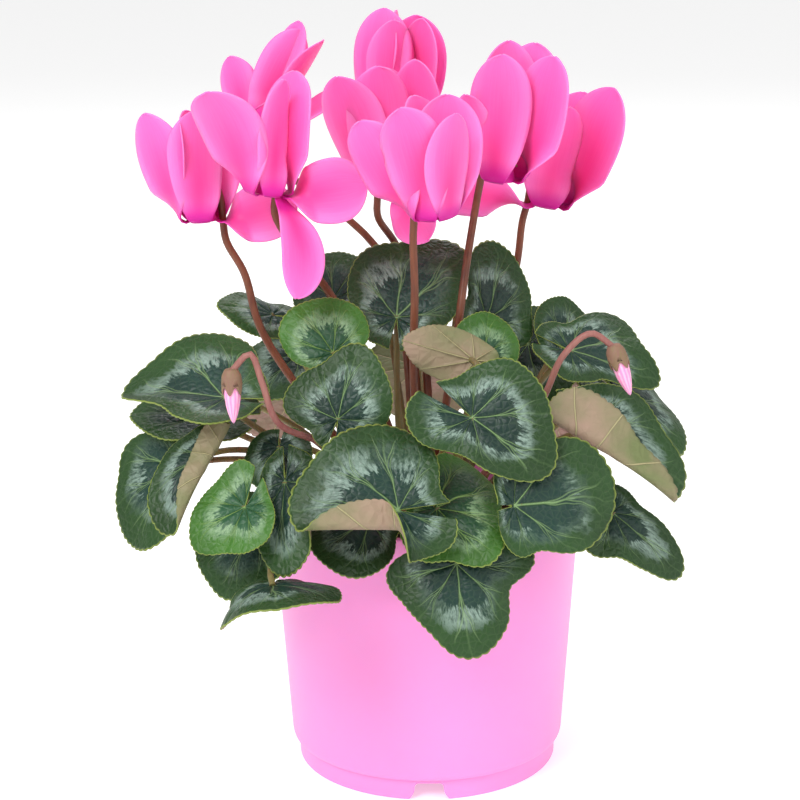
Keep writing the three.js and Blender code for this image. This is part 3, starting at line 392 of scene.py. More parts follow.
net = add_node(tree, CELLS, place, Scale=0.6 / (VEIN_NET_MM * MM), **CELL_EDGES)
quilt = add_node(tree, MATH, net, -1.4, rib, **TIMES_PLUS)
dress(tree, shader, ribbed, add_node(tree, BUMP, Strength=0.7, Distance=0.0009, Height=quilt))

# %% [markdown]
# ## Petals
# A petal is thin, satiny and lit from within. Its foot is deep magenta, a rosy streak runs up its middle,
# and it pales towards its margins. Very fine lines run along it. On the petal's own map u goes across and
# v from its foot to its tip. Scattering below the surface gives the glow.

# %% Petals
PETAL_LINES = 46.0
petal_satin, tree, shader = new_material(
    "satin petal", 0.5, Specular_IOR_Level=0.3, Subsurface_Weight=0.3, Subsurface_Scale=0.004,
    Subsurface_Radius=(1.0, 0.35, 0.5), Sheen_Weight=0.05,
)
surface = add_node(tree, "ShaderNodeUVMap", uv_map="surface")
petal_map = add_node(tree, "ShaderNodeSeparateXYZ", surface)
across = add_node(tree, MATH, petal_map.outputs["X"], 2.0, -1.0, **TIMES_PLUS)
aside = add_node(tree, MATH, across, operation="ABSOLUTE")
along = petal_map.outputs["Y"]
drawn_out = add_node(tree, "ShaderNodeMapping", surface, Scale=(PETAL_LINES, 2.5, 1.0))
lines = add_node(tree, NOISE, drawn_out, Scale=1.0, Detail=3.0)
streak_across = add_node(tree, RANGE, aside, 0.0, 0.85, 1.0, 0.0, **SMOOTH)
streak_along = add_node(tree, RANGE, along, 0.3, 1.0, 0.95, 0.1, **SMOOTH)
streak = add_node(tree, MATH, streak_across, streak_along, **TIMES)
rosy = add_node(tree, MIX, streak, "#FC6AB8", "#F23C90", **COLOUR)
lined = add_node(tree, MIX, add_node(tree, RANGE, lines, 0.35, 0.65, 0.0, 0.2), rosy, "#EC3890", **COLOUR)
pale = add_node(tree, RANGE, aside, 0.5, 1.0, 0.0, 0.4, **SMOOTH)
edged = add_node(tree, MIX, pale, lined, "#FF8CCC", **COLOUR)
foot = add_node(tree, RANGE, along, 0.10, 0.26, 1.0, 0.0, **SMOOTH)
footed = add_node(tree, MIX, foot, edged, "#CC1490", **COLOUR)
dress(tree, shader, footed, add_node(tree, BUMP, Strength=0.15, Distance=0.0004, Height=lines))

# %% [markdown]
# ## Stems, stalks, calyx and buds
# Flower stems are smooth and red-brown, leaf stalks greener. Both are juicy, with a soft gloss, and their
# colour drifts along them. The calyx is olive-brown and the bud's rolled petals are a pale pink that is
# striped along the roll.

# %% Stem skins
def stem_skin(name, base, drift, roughness):
    """A smooth plant skin whose colour drifts between two tones."""
    skin, tree, shader = new_material(name, roughness, Specular_IOR_Level=0.4, Subsurface_Weight=0.05)
    place = add_node(tree, "ShaderNodeTexCoord").outputs["Object"]
    drawn_out = add_node(tree, "ShaderNodeMapping", place, Scale=(900.0, 900.0, 60.0))
    fibres = add_node(tree, NOISE, drawn_out, Scale=1.0, Detail=2.0)
    broad = add_node(tree, NOISE, place, Scale=40.0, Detail=2.0)
    blend = add_node(tree, MATH, fibres, 0.5, broad, **TIMES_PLUS)
    tint = add_node(tree, MIX, add_node(tree, RANGE, blend, 0.5, 1.0, 0.0, 1.0), base, drift, **COLOUR)
    dress(tree, shader, tint, add_node(tree, BUMP, Strength=0.2, Distance=0.0003, Height=fibres))
    return skin


stem_brown = stem_skin("red-brown flower stem", "#4E261B", "#7C4930", 0.45)
stalk_green = stem_skin("green-brown leaf stalk", "#5C4A32", "#7F7A48", 0.5)
bud_stem_brown = stem_skin("pink-brown bud stem", "#7A4444", "#9A6A60", 0.5)
calyx_olive = stem_skin("olive-brown calyx", "#6A5136", "#8A7046", 0.55)
bud_calyx_skin = stem_skin("pink-brown bud calyx", "#8C5A5A", "#7C6A48", 0.6)

bud_pink, tree, shader = new_material("rolled bud petals", 0.5, Subsurface_Weight=0.2, Subsurface_Scale=0.003)
surface = add_node(tree, "ShaderNodeUVMap", uv_map="surface")
rolled = add_node(tree, "ShaderNodeMapping", surface, Scale=(6.0, 3.0, 1.0))
stripes = add_node(tree, "ShaderNodeTexWave", rolled, Scale=0.6, Distortion=1.5)
dress(tree, shader, add_node(tree, MIX, stripes.outputs["Fac"], "#F7B9D6", "#F08CC0", **COLOUR))

# %% [markdown]
# ## The pot
# A moulded pot is a body of revolution with three gaps in its foot ring. The section is drawn once, from the
# floor's middle over the wall and lip and back inside, with its corners rounded, and turned about the axis.
# A boolean cut then makes the gaps and the drain holes, as the mould's inserts do.

# %% Pot sizes
POT_HEIGHT = 113.0
RIM_RADIUS = 63.5
BODY_FOOT_RADIUS = 56.2
FOOT_RADIUS = 53.8
FOOT_HEIGHT = 8.8
POT_WALL = 1.6
LIP_HEIGHT = 11.0
LIP_STAND = 1.1
FLOOR_Z = 8.0
FLOOR_TOP_Z = FLOOR_Z + 1.8
NOTCH_COUNT = 3
NOTCH_WIDTH = 11.6
NOTCH_FLARE = 3.4
NOTCH_CORNER = 1.8
DRAIN_RADIUS = 4.0
DRAIN_CIRCLE = 31.0
DRAIN_COUNT = 6
DRAIN_SIDES = 24
POT_STEPS = 180
POT_SHARP_DEG = 40


def body_radius(z):
    """The outside radius of the pot's tapered wall at a height."""
    return BODY_FOOT_RADIUS + (RIM_RADIUS - BODY_FOOT_RADIUS) * (z - FOOT_HEIGHT) / (POT_HEIGHT - FOOT_HEIGHT)


def rounded(profile, radius, steps=4):
    """A section with each inner corner replaced by a small arc."""
    profile = [np.array(p, float) for p in profile]
    shares = np.arange(steps + 1) / steps
    out = [profile[0]]
    for before, corner, after in zip(profile, profile[1:], profile[2:]):
        cut = min(radius, 0.45 * np.linalg.norm(corner - before), 0.45 * np.linalg.norm(after - corner))
        a = corner + unit(before - corner) * cut
        b = corner + unit(after - corner) * cut
        out += [(1 - t) ** 2 * a + 2 * t * (1 - t) * corner + t ** 2 * b for t in shares]
    return np.array(out + [profile[-1]])


def lathe_faces(rings, steps):
    """Faces of rings of points that lie between a first and a last point on the axis."""
    faces = []
    top = 1 + (rings - 1) * steps
    for i in range(steps):
        j = (i + 1) % steps
        faces.append((0, 1 + j, 1 + i))
        faces += [(a + i, a + j, a + steps + j, a + steps + i) for a in range(1, top, steps)]
        faces.append((top + i, top + j, top + steps))
    return faces


def lathe(profile, steps):
    """Points and faces of a section turned about the axis. Its first and last points lie on the axis."""
    angles = np.arange(steps) * 2 * math.pi / steps
    points = [(r * math.cos(a), r * math.sin(a), z) for r, z in profile[1:-1] for a in angles]
    return [(0, 0, profile[0][1])] + points + [(0, 0, profile[-1][1])], lathe_faces(len(profile) - 2, steps)


# %% Pot and its cuts
wall_top = POT_HEIGHT - LIP_HEIGHT
pot_section = rounded([
    (0, FLOOR_Z), (FOOT_RADIUS - 2 * POT_WALL, FLOOR_Z - 0.6), (FOOT_RADIUS - POT_WALL, 0),
    (FOOT_RADIUS - 0.3, 0), (FOOT_RADIUS, FOOT_HEIGHT), (BODY_FOOT_RADIUS - 0.5, FOOT_HEIGHT + 0.3),
    (BODY_FOOT_RADIUS + 0.2, FOOT_HEIGHT + 2), (body_radius(wall_top), wall_top),
    (body_radius(wall_top) + LIP_STAND, wall_top + 0.5), (RIM_RADIUS + LIP_STAND - 0.4, POT_HEIGHT - 0.8),
    (RIM_RADIUS, POT_HEIGHT), (RIM_RADIUS - 1.2, POT_HEIGHT - 0.3),
    (body_radius(wall_top) - POT_WALL, wall_top), (BODY_FOOT_RADIUS - POT_WALL, FOOT_HEIGHT + 3),
    (BODY_FOOT_RADIUS - POT_WALL - 2, FLOOR_TOP_Z), (0, FLOOR_TOP_Z),
], 0.7)
pot = new_piece("fine_pot", *lathe(pot_section, POT_STEPS), [pot_plastic])


def prism(name, first, second):
    """A cutter between two outlines of points, anticlockwise as the second is seen from outside."""
    n = len(first)
    faces = [tuple(range(n - 1, -1, -1)), tuple(range(n, 2 * n))]
    faces += [(i, (i + 1) % n, n + (i + 1) % n, n + i) for i in range(n)]
    return new_piece(name, first + second, faces)


def notch_cutter(index):
    """The insert that forms a gap in the foot ring: flared below, with rounded upper corners."""
    top = FOOT_HEIGHT - POT_WALL
    half = NOTCH_WIDTH / 2
    side = [(half + NOTCH_FLARE * (1 - t) ** 2, -1 + (top + 0.2) * t * 0.8) for t in np.linspace(0, 1, 5)]
    for a in np.linspace(0, math.pi / 2, 6):
        side.append((half - NOTCH_CORNER * (1 - math.cos(a)), top - NOTCH_CORNER * (1 - math.sin(a))))
    outline = side + [(-x, z) for x, z in reversed(side)]
    c, s = on_side(index * 360 / NOTCH_COUNT)[:2]
    ends = (9 - FOOT_RADIUS, -3 - FOOT_RADIUS)
    return prism("notch cutter", *([(c * x - s * y, s * x + c * y, z) for x, z in outline] for y in ends))


def drain_cutter(middle):
    """A round cutter through the pot's floor."""
    circle = [middle + DRAIN_RADIUS * on_side(i * 360 / DRAIN_SIDES) for i in range(DRAIN_SIDES)]
    low, high = ([p + [0, 0, z] for p in circle] for z in (FLOOR_Z - 3, FLOOR_Z + 4))
    return prism("drain cutter", low, high)


cutters = [notch_cutter(i) for i in range(NOTCH_COUNT)] + [drain_cutter(np.zeros(3))]
cutters += [drain_cutter(DRAIN_CIRCLE * on_side((i + 0.5) * 360 / DRAIN_COUNT)) for i in range(DRAIN_COUNT)]
for cutter in cutters:
    cut = pot.modifiers.new(cutter.name, "BOOLEAN")
    cut.operation = "DIFFERENCE"
    cut.solver = "EXACT"
    cut.object = cutter
pot.data = worked_mesh(pot)
for cutter in cutters:
    bpy.data.objects.remove(cutter)
pot.data.set_sharp_from_angle(angle=POT_SHARP_DEG * RAD)
settle(pot, "pot", "pot")
print("pot faces:", len(pot.data.polygons))

# %% [markdown]
# ## Soil and its crumbs
# The soil is one body with a lumpy top. What shows is its crumbs, so a Geometry Nodes tree scatters some
# two thousand faceted grains on the top, each turned and scaled at random from a fixed seed. Its inputs are
# the grain's size, how many there are on a square metre, and the seed.

# %% Soil body
SOIL_Z = 99.0
SOIL_FOOT_Z = 10.1
SOIL_SHARES = (0.93, 0.86, 0.79, 0.72, 0.65, 0.58, 0.5, 0.4, 0.25, 0.1)
SOIL_STEPS = 96


def soil_top(x, y):
    """The height of the lumpy soil."""
    return SOIL_Z + 1.1 * math.sin(0.31 * x + 1) * math.cos(0.27 * y) + 0.7 * math.sin(0.9 * x + 0.7 * y)


# The side of the soil keeps clear of the pot's inside
soil_section = [(0, SOIL_FOOT_Z), (BODY_FOOT_RADIUS - POT_WALL - 2.8, SOIL_FOOT_Z)]
soil_section += [(body_radius(z) - POT_WALL - clear, z) for z, clear in ((14, 0.95), (95, 1.15))]
soil_section += [((body_radius(SOIL_Z) - POT_WALL - 0.35) * share, SOIL_Z) for share in (*SOIL_SHARES, 0)]
points, faces = lathe(soil_section, SOIL_STEPS)
points = [(x, y, soil_top(x, y) if z >= SOIL_Z else z) for x, y, z in points]
soil = new_piece("fine_soil", points, faces, [peat])


# %% Soil crumbs tree
CRUMB_RADIUS = 1.5
CRUMBS_PER_SQUARE_METRE = 160000.0
CRUMB_SEED = 4
CRUMB_LEAST = (0.4, 0.4, 0.3)
CRUMB_MOST = (1.3, 1.1, 0.9)
CRUMBS_ABOVE_M = 0.0965
WHOLE_TURN = 6.28


def new_tree(name, inputs):
    """A Geometry Nodes tree that changes a geometry by more inputs, and the sockets of what it is given."""
    tree = bpy.data.node_groups.new(name, "GeometryNodeTree")
    for socket, kind in {"Geometry": "Geometry", **inputs}.items():
        tree.interface.new_socket(socket, in_out="INPUT", socket_type="NodeSocket" + kind)
    tree.interface.new_socket("Geometry", in_out="OUTPUT", socket_type="NodeSocketGeometry")
    return tree, add_node(tree, "NodeGroupInput").outputs


def with_nodes(piece, tree, **sizes):
    """The mesh that a Geometry Nodes tree makes of the piece. A size's name is its input's, in lower case."""
    change = piece.modifiers.new(tree.name, "NODES")
    change.node_group = tree
    for item in tree.interface.items_tree:
        key = item.name.lower().replace(" ", "_")
        if item.in_out == "INPUT" and key in sizes:
            change[item.identifier] = sizes[key]
    return worked_mesh(piece)


crumb_tree, given = new_tree(
    "scatter crumbs", {"Crumb radius": "Float", "Crumbs per square metre": "Float", "Seed": "Int"},
)
tree = crumb_tree
height = add_node(tree, "ShaderNodeSeparateXYZ", add_node(tree, "GeometryNodeInputPosition")).outputs["Z"]
on_top = add_node(tree, "FunctionNodeCompare", height, CRUMBS_ABOVE_M, operation="GREATER_THAN")
spots = add_node(
    tree, "GeometryNodeDistributePointsOnFaces", given["Geometry"], on_top,
    Density=given["Crumbs per square metre"], Seed=given["Seed"],
)
grain = add_node(tree, "GeometryNodeMeshIcoSphere", given["Crumb radius"], 1)
RANDOM = dict(data_type="FLOAT_VECTOR", Seed=given["Seed"])
spin = add_node(tree, "FunctionNodeRandomValue", Max=(WHOLE_TURN,) * 3, **RANDOM)
size = add_node(tree, "FunctionNodeRandomValue", Min=CRUMB_LEAST, Max=CRUMB_MOST, **RANDOM)
placed = add_node(tree, "GeometryNodeInstanceOnPoints", spots, Instance=grain, Rotation=spin, Scale=size)
real = add_node(tree, "GeometryNodeRealizeInstances", placed)
add_node(tree, "NodeGroupOutput", add_node(tree, "GeometryNodeSetMaterial", real, Material=peat))

# %% Soil crumbs
crumbs = show("soil crumbs", soil.data.copy())
crumbs.data = with_nodes(
    crumbs, crumb_tree, crumb_radius=CRUMB_RADIUS * MM, crumbs_per_square_metre=CRUMBS_PER_SQUARE_METRE,
    seed=CRUMB_SEED,
)
crumbs.data.polygons.foreach_set("use_smooth", np.zeros(len(crumbs.data.polygons), bool))
soil = joined("fine_soil", [soil, crumbs])
settle(soil, "soil", "soil")
print("soil faces:", len(soil.data.polygons))

# %% [markdown]
# ## The tuber
# The tuber is a flattened ball that sits half in the soil. Its skin is knobbly, so the height of a fine
# grid is moved by a product of two sine waves. All stalks grow from its crown.

# %% Tuber
TUBER_RADIUS = 27.0
TUBER_TOP_Z = 104.0
TUBER_FOOT_Z = 86.0
CROWN_SHARES = (0.97, 0.85, 0.7, 0.55, 0.4, 0.25, 0.1, 0)
TUBER_STEPS = 72
KNOB = 0.35


def crown_z(r):
    """The height of the tuber's crown."""
    return TUBER_TOP_Z - 4.5 * (r / TUBER_RADIUS) ** 2


def knob(x, y, z):
    """How far the skin is moved up. The lower half stays plain."""
    return KNOB * math.sin(0.8 * x) * math.sin(0.7 * y + 1) if z > TUBER_FOOT_Z + 12 else 0


tuber_section = [(0, TUBER_FOOT_Z + 0.3), (TUBER_RADIUS * 0.7, TUBER_FOOT_Z + 3)]
tuber_section.append((TUBER_RADIUS, TUBER_FOOT_Z + 9))
tuber_section += [(TUBER_RADIUS * share, crown_z(TUBER_RADIUS * share)) for share in CROWN_SHARES]
points, faces = lathe(tuber_section, TUBER_STEPS)
tuber = new_piece("fine_tuber", [(x, y, z + knob(x, y, z)) for x, y, z in points], faces, [cork])
settle(tuber, "tuber", "tuber")

# %% [markdown]
# ## Where the stalks stand
# Every stalk and stem has its own place on the crown, in one of four rings. Each asks for the side that it
# leans towards, and neighbours are then pushed apart to a least spacing, as the solids' formula does.

# %% Root places
ROOT_RINGS = {"outer": 22.0, "middle": 16.0, "inner": 10.2, "heart": 4.6}
ROOT_SPACING = 4.9
ROOT_SINK = 6.0
SPREAD_ROUNDS = 80
roots = []


def ask_root(ring, towards):
    """Asks for a place in a ring of the crown, on the side of a point."""
    root = {"ring": ring, "turn": math.atan2(towards[1], towards[0])}
    roots.append(root)
    return root


def spread_roots():
    """Pushes the places in each ring apart and sets them on the crown."""
    for ring, radius in ROOT_RINGS.items():
        found = sorted((r for r in roots if r["ring"] == ring), key=lambda r: r["turn"])
        least = ROOT_SPACING / radius
        for _ in range(SPREAD_ROUNDS):
            for i, root in enumerate(found):
                after = found[(i + 1) % len(found)]
                gap = after["turn"] - root["turn"] + (2 * math.pi if i + 1 == len(found) else 0)
                push = max(0, least - gap) / 2
                root["turn"] -= push
                after["turn"] += push
        for root in found:
            root["at"] = radius * on_side(root["turn"] / RAD) + [0, 0, crown_z(radius)]


# %% [markdown]
# ## Stalks by Geometry Nodes
# A stalk follows a path, so it is a curve with a Geometry Nodes tree: the curve is divided evenly, a circle
# is swept along it, and the sweep is scaled from the foot's radius to the tip's. The tree serves leaf
# stalks, flower stems and bud stems alike, with other radii.

# %% Stalk tree
STALK_SIDES = 12

stalk_tree, given = new_tree(
    "sweep a stalk", {"Foot radius": "Float", "Tip radius": "Float", "Rings": "Int", "Skin": "Material"},
)
tree = stalk_tree
even = add_node(tree, "GeometryNodeResampleCurve", given["Geometry"], Count=given["Rings"])
share = add_node(tree, "GeometryNodeSplineParameter")
taper = add_node(tree, RANGE, share, 0.0, 1.0, given["Foot radius"], given["Tip radius"])
circle = add_node(tree, "GeometryNodeCurvePrimitiveCircle", STALK_SIDES, 1.0)
swept = add_node(tree, "GeometryNodeCurveToMesh", even, circle, Scale=taper, Fill_Caps=True)
smooth = add_node(tree, "GeometryNodeSetShadeSmooth", swept)
real = add_node(tree, "GeometryNodeRealizeInstances", smooth)
add_node(tree, "NodeGroupOutput", add_node(tree, "GeometryNodeSetMaterial", real, Material=given["Skin"]))


def stalk(name, path, foot_radius, tip_radius, rings, skin):
    """A tapered tube along a list of millimetre points."""
    curve = bpy.data.curves.new(name, "CURVE")
    curve.dimensions = "3D"
    line = curve.splines.new("POLY")
    line.points.add(len(path) - 1)
    for point, p in zip(line.points, to_metres(path)):
        point.co = (*p, 1)
    source = show(name + " path", curve)
    mesh = with_nodes(
        source, stalk_tree, foot_radius=foot_radius * MM, tip_radius=tip_radius * MM, rings=rings, skin=skin,
    )
    bpy.data.objects.remove(source)
    if not mesh.uv_layers:
        mesh.uv_layers.new(name="surface")
    return show(name, mesh)


# %% [markdown]
# ## Leaves
# A leaf's form is a rule: an outline round the stalk end, bent along and across, with a keel, waves and
# sometimes a flap, a side that folds over and shows its under side. The same rule made the solids. Here the
# grid is fine enough for small rounded teeth, for veins that are sunk a little and for flesh that swells
# between them. The blade gets two faces and a rim, so it is a closed body, and each face its own finish.

# %% Leaf form
LEAF_DEFAULTS = dict(
    wide=1.0, heel=0.58, edge=None, flap=[0, 0, 1, 0, 0, 1], left=-18, right=-18, nose=-22, back=-18,
    keel=5, wave=[0.02, 5, 0], ring="outer", tilt=30, pull=[0.35, 0.25], arrive=None,
)


def bent(angle, reach, s, h):
    """A strip bent by an angle over its reach: place along and above, at arc s and height h."""
    k = angle / reach
    if abs(k) < 1e-6:
        return s, h
    return np.sin(k * s) / k - h * np.sin(k * s), (1 - np.cos(k * s)) / k + h * np.cos(k * s)


def outline(turn, leaf):
    """The leaf's edge round its stalk: 1 at the tip. A leaf's own edge is its reach at every 30 degrees."""
    if leaf["edge"]:
        edge = np.array(leaf["edge"])
        place = (turn / RAD / 30) % 12
        i = np.floor(place).astype(int) % 12
        t = place - np.floor(place)
        a, b, c, d = (edge[(i + step) % 12] for step in (-1, 0, 1, 2))
        return b + t / 2 * (c - a + t * (2 * a - 5 * b + 4 * c - d + t * (3 * (b - c) + d - a)))
    heel = leaf["heel"]
    point = 0.07 * np.exp(-((turn / 0.28) ** 2))
    lobe = 0.05 * np.exp(-(((np.abs(turn) - 2.55) / 0.45) ** 2))
    return (0.93 + heel) / 2 + ((0.93 - heel) / 2) * np.cos(turn) + point + lobe


def leaf_form(leaf, rho, turn, lift=0.0):
    """A point of the bent leaf in its own frame. lift raises it off the plain form."""
    far = outline(turn, leaf) * rho
    u = far * np.cos(turn)
    v = far * np.sin(turn) * leaf["wide"]
    wave = leaf["wave"][0] * rho ** 2 * np.sin(leaf["wave"][1] * turn + leaf["wave"][2]) + lift
    side, start, radius, angle, behind, ahead = leaf["flap"]
    along = np.clip((u - behind) / 0.25, 0, 1) * np.clip((ahead - u) / 0.25, 0, 1)
    fold = np.where(v * side > 0, angle * RAD, 0) * along
    flat = np.abs(v)
    arc = np.clip((flat - start) / radius, 0, fold)
    rest = np.maximum(0, flat - start - radius * fold) * (fold > 0)
    folded = np.minimum(flat, start) + radius * np.sin(arc) + rest * np.cos(fold)
    aside = np.where(fold > 0, folded, flat)
    wave = wave * np.cos(arc) + radius * (1 - np.cos(arc)) + rest * np.sin(fold)
    half = 0.85 * leaf["wide"]
    left = bent(leaf["left"] * RAD, half, aside, wave)
    right = bent(leaf["right"] * RAD, half, aside, wave)
    y = np.where(v > 0, left[0], right[0])
    h = np.where(v > 0, left[1], right[1])
    rise = h + (np.sqrt(y ** 2 + 0.0016) - 0.04) * math.tan(leaf["keel"] * RAD)
    ahead = bent(leaf["nose"] * RAD, 1.0, u, rise)
    behind = bent(-leaf["back"] * RAD, 0.6, u, rise)
    x = np.where(u > 0, ahead[0], behind[0])
    z = np.where(u > 0, ahead[1], behind[1])
    return np.stack([x, np.sign(v) * y, z], -1)


def leaf_frame(leaf):
    """The leaf's scale and axes, which set its stalk end and its tip on their places."""
    at = np.array(leaf["at"], float)
    span = np.array(leaf["tip"], float) - at
    chord = leaf_form(leaf, np.array(1.0), np.array(0.0))
    scale = np.linalg.norm(span) / math.hypot(chord[0], chord[2])
    drop = math.atan2(chord[2], chord[0])
    e1 = unit(span)
    e3 = np.array(leaf["up"], float)
    e3 = unit(e3 - (e3 @ e1) * e1)
    along = e1 * math.cos(drop) - e3 * math.sin(drop)
    rise = e3 * math.cos(drop) + e1 * math.sin(drop)
    return scale, at, np.stack([along, np.cross(e3, e1), rise])


def leaf_points(leaf, rho, turn, lift=0.0):
    """Points of the leaf in its place on the plant, in millimetres. lift is in them too."""
    scale, at, axes = leaf_frame(leaf)
    return at + scale * leaf_form(leaf, np.asarray(rho), np.asarray(turn), lift / scale) @ axes


# %% [markdown]
# Leaves and petals are both thin sheets: a grid of points with two faces and a rim. The grid's rows and
# columns give the UV map as well.

# %% Thin sheets
def sheet(points, normals, thickness):
    """The upper points of a sheet and then its under points, from those between them."""
    half = normals.reshape(-1, 3) * thickness / 2
    return np.concatenate([points.reshape(-1, 3) + half, points.reshape(-1, 3) - half])


def sheet_normals(points):
    """Unit normals of a grid of points."""
    return unit(np.cross(np.gradient(points, axis=0), np.gradient(points, axis=1)))


def sheet_faces(us, vs, count):
    """Upper and under faces of a grid whose columns lie at us and rows at vs, with their UVs. An under point
    comes count later than its upper one."""
    faces, uvs = [], []
    wide = len(us)
    for r, (low, high) in enumerate(zip(vs, vs[1:])):
        for i, (left, right) in enumerate(zip(us, us[1:])):
            a, b = r * wide + i, (r + 1) * wide + i
            faces += [(a, b, b + 1, a + 1), (a + count, a + 1 + count, b + 1 + count, b + count)]
            uvs += [(left, low), (left, high), (right, high), (right, low)]
            uvs += [(left, low), (right, low), (right, high), (left, high)]
    return faces, uvs


def sheet_edge(rows, columns):
    """The points down a grid's first column, along its last row and up its last column."""
    edge = [r * columns for r in range(rows)] + [(rows - 1) * columns + i for i in range(1, columns)]
    return edge + [r * columns + columns - 1 for r in range(rows - 2, -1, -1)]


def rim_faces(loop, count):
    """Faces from each upper point of a loop to its under point."""
    return [(a, a + count, b + count, b) for a, b in zip(loop, loop[1:] + loop[:1])]


# %% Leaf blade
BLADE = 0.6
SINUS = 9 * RAD
STALK_RADIUS = 1.3
STALK_SEAT = 0.07
STALK_RINGS = 24
LEAF_RINGS = 18
LEAF_TEETH = 57
TOOTH_STEPS = 4
TOOTH_DEPTH = 0.02
VEIN_SINK = 0.35
PILLOW = 0.3
MARGIN_WAVE = 2.2
LEAF_SEED = 100
YOUNG_LEAVES = (3, 6, 11, 24)


def leaf_lift(rho, turn, seed):
    """How the flesh rises and falls about the plain form, in millimetres."""
    off_vein = np.abs((turn / RAD + VEIN_STEP_DEG / 2) % VEIN_STEP_DEG - VEIN_STEP_DEG / 2)
    gap = off_vein * RAD * rho * 30
    sunk = -VEIN_SINK * np.exp(-((gap / 1.1) ** 2)) * (1 - rho) ** 0.3
    pillow = PILLOW * np.sin(math.pi * off_vein / VEIN_STEP_DEG) * np.sin(math.pi * np.minimum(1, 1.1 * rho))
    draw = np.random.default_rng(seed)
    waves = 0
    for turns in (3, 7, 11):
        waves = waves + draw.uniform(0.3, 1.0) / turns * np.sin(turns * turn + draw.uniform(0, WHOLE_TURN))
    return sunk + pillow + MARGIN_WAVE * rho ** 3 * waves


def make_blade(name, leaf, seed):
    """The blade as a closed body: upper face, under face and rim. Triangles close it round the stalk end."""
    columns = LEAF_TEETH * TOOTH_STEPS
    turns = np.linspace(-math.pi + SINUS, math.pi - SINUS, columns + 1)
    rhos = np.linspace(0, 1, LEAF_RINGS + 1)[1:] ** 0.85
    rho = np.repeat(rhos[:, None], columns + 1, 1)
    turn = np.repeat(turns[None, :], LEAF_RINGS, 0)
    rho[-1] -= TOOTH_DEPTH * (1 - np.abs(np.sin(np.arange(columns + 1) * math.pi / TOOTH_STEPS)))
    grid = leaf_points(leaf, rho, turn, leaf_lift(rho, turn, seed))
    normals = sheet_normals(grid)
    points = np.concatenate([grid.reshape(-1, 3), [leaf_points(leaf, 0.0, 0.0)]])
    normals = np.concatenate([normals.reshape(-1, 3), [unit(normals[0].mean(0))]])
    count = len(points)
    apex = count - 1
    us = turns / (2 * math.pi) + 0.5
    faces, uvs = [], []
    for i, (left, right) in enumerate(zip(us, us[1:])):
        faces += [(apex, i, i + 1), (apex + count, i + 1 + count, i + count)]
        middle, near, far = ((left + right) / 2, 0), (left, rhos[0]), (right, rhos[0])
        uvs += [middle, near, far, middle, far, near]
    more_faces, more_uvs = sheet_faces(us, rhos, count)
    rim = rim_faces([apex] + sheet_edge(LEAF_RINGS, columns + 1), count)
    sides = [0, 1] * ((len(faces) + len(more_faces)) // 2) + [0] * len(rim)
    uvs += more_uvs + [(0.5, 1.0)] * 4 * len(rim)
    upper = young_upper if leaf["young"] else leaf_upper
    materials = [upper, leaf_under]
    return new_piece(name, sheet(points, normals, BLADE), faces + more_faces + rim, materials, uvs, sides)


def cubic(p0, p1, p2, p3, steps):
    """Points of a cubic Bezier curve."""
    t = np.linspace(0, 1, steps)[:, None]
    return (1 - t) ** 3 * p0 + 3 * t * (1 - t) ** 2 * p1 + 3 * t ** 2 * (1 - t) * p2 + t ** 3 * p3


def make_leaf(number, spec, root):
    """A blade on its stalk, as one piece."""
    leaf = {**LEAF_DEFAULTS, **spec, "young": number in YOUNG_LEAVES}
    name = f"leaf_{number:02d}"
    at = np.array(leaf["at"], float)
    out = unit((at - root["at"]) * [1, 1, 0])
    start = out * math.sin(leaf["tilt"] * RAD) + np.array([0, 0, math.cos(leaf["tilt"] * RAD)])
    along = unit(np.array(leaf["tip"], float) - at)
    arrive = unit(leaf["arrive"] or unit(leaf["up"]) * 0.8 + along * 0.45)
    seat = leaf_points(leaf, STALK_SEAT * 0.6, 0.0)
    reach = np.linalg.norm(root["at"] - leaf_points(leaf, STALK_SEAT, 0.0))
    path = cubic(
        root["at"] - start * ROOT_SINK, root["at"] + start * reach * leaf["pull"][0],
        seat - arrive * reach * leaf["pull"][1], seat - arrive * BLADE / 2, STALK_RINGS,
    )
    blade = make_blade("fine_" + name, leaf, LEAF_SEED + number)
    tube = stalk(name + " stalk", path, STALK_RADIUS * 1.15, STALK_RADIUS * 0.9, STALK_RINGS, stalk_green)
    return settle(joined("fine_" + name, [blade, tube]), "leaf", name)


# %% [markdown]
# Each leaf is one row: where its stalk ends, where its tip is, where its upper face looks, and how it is
# bent. The rows are those of the solids, read off the plant from front to back.

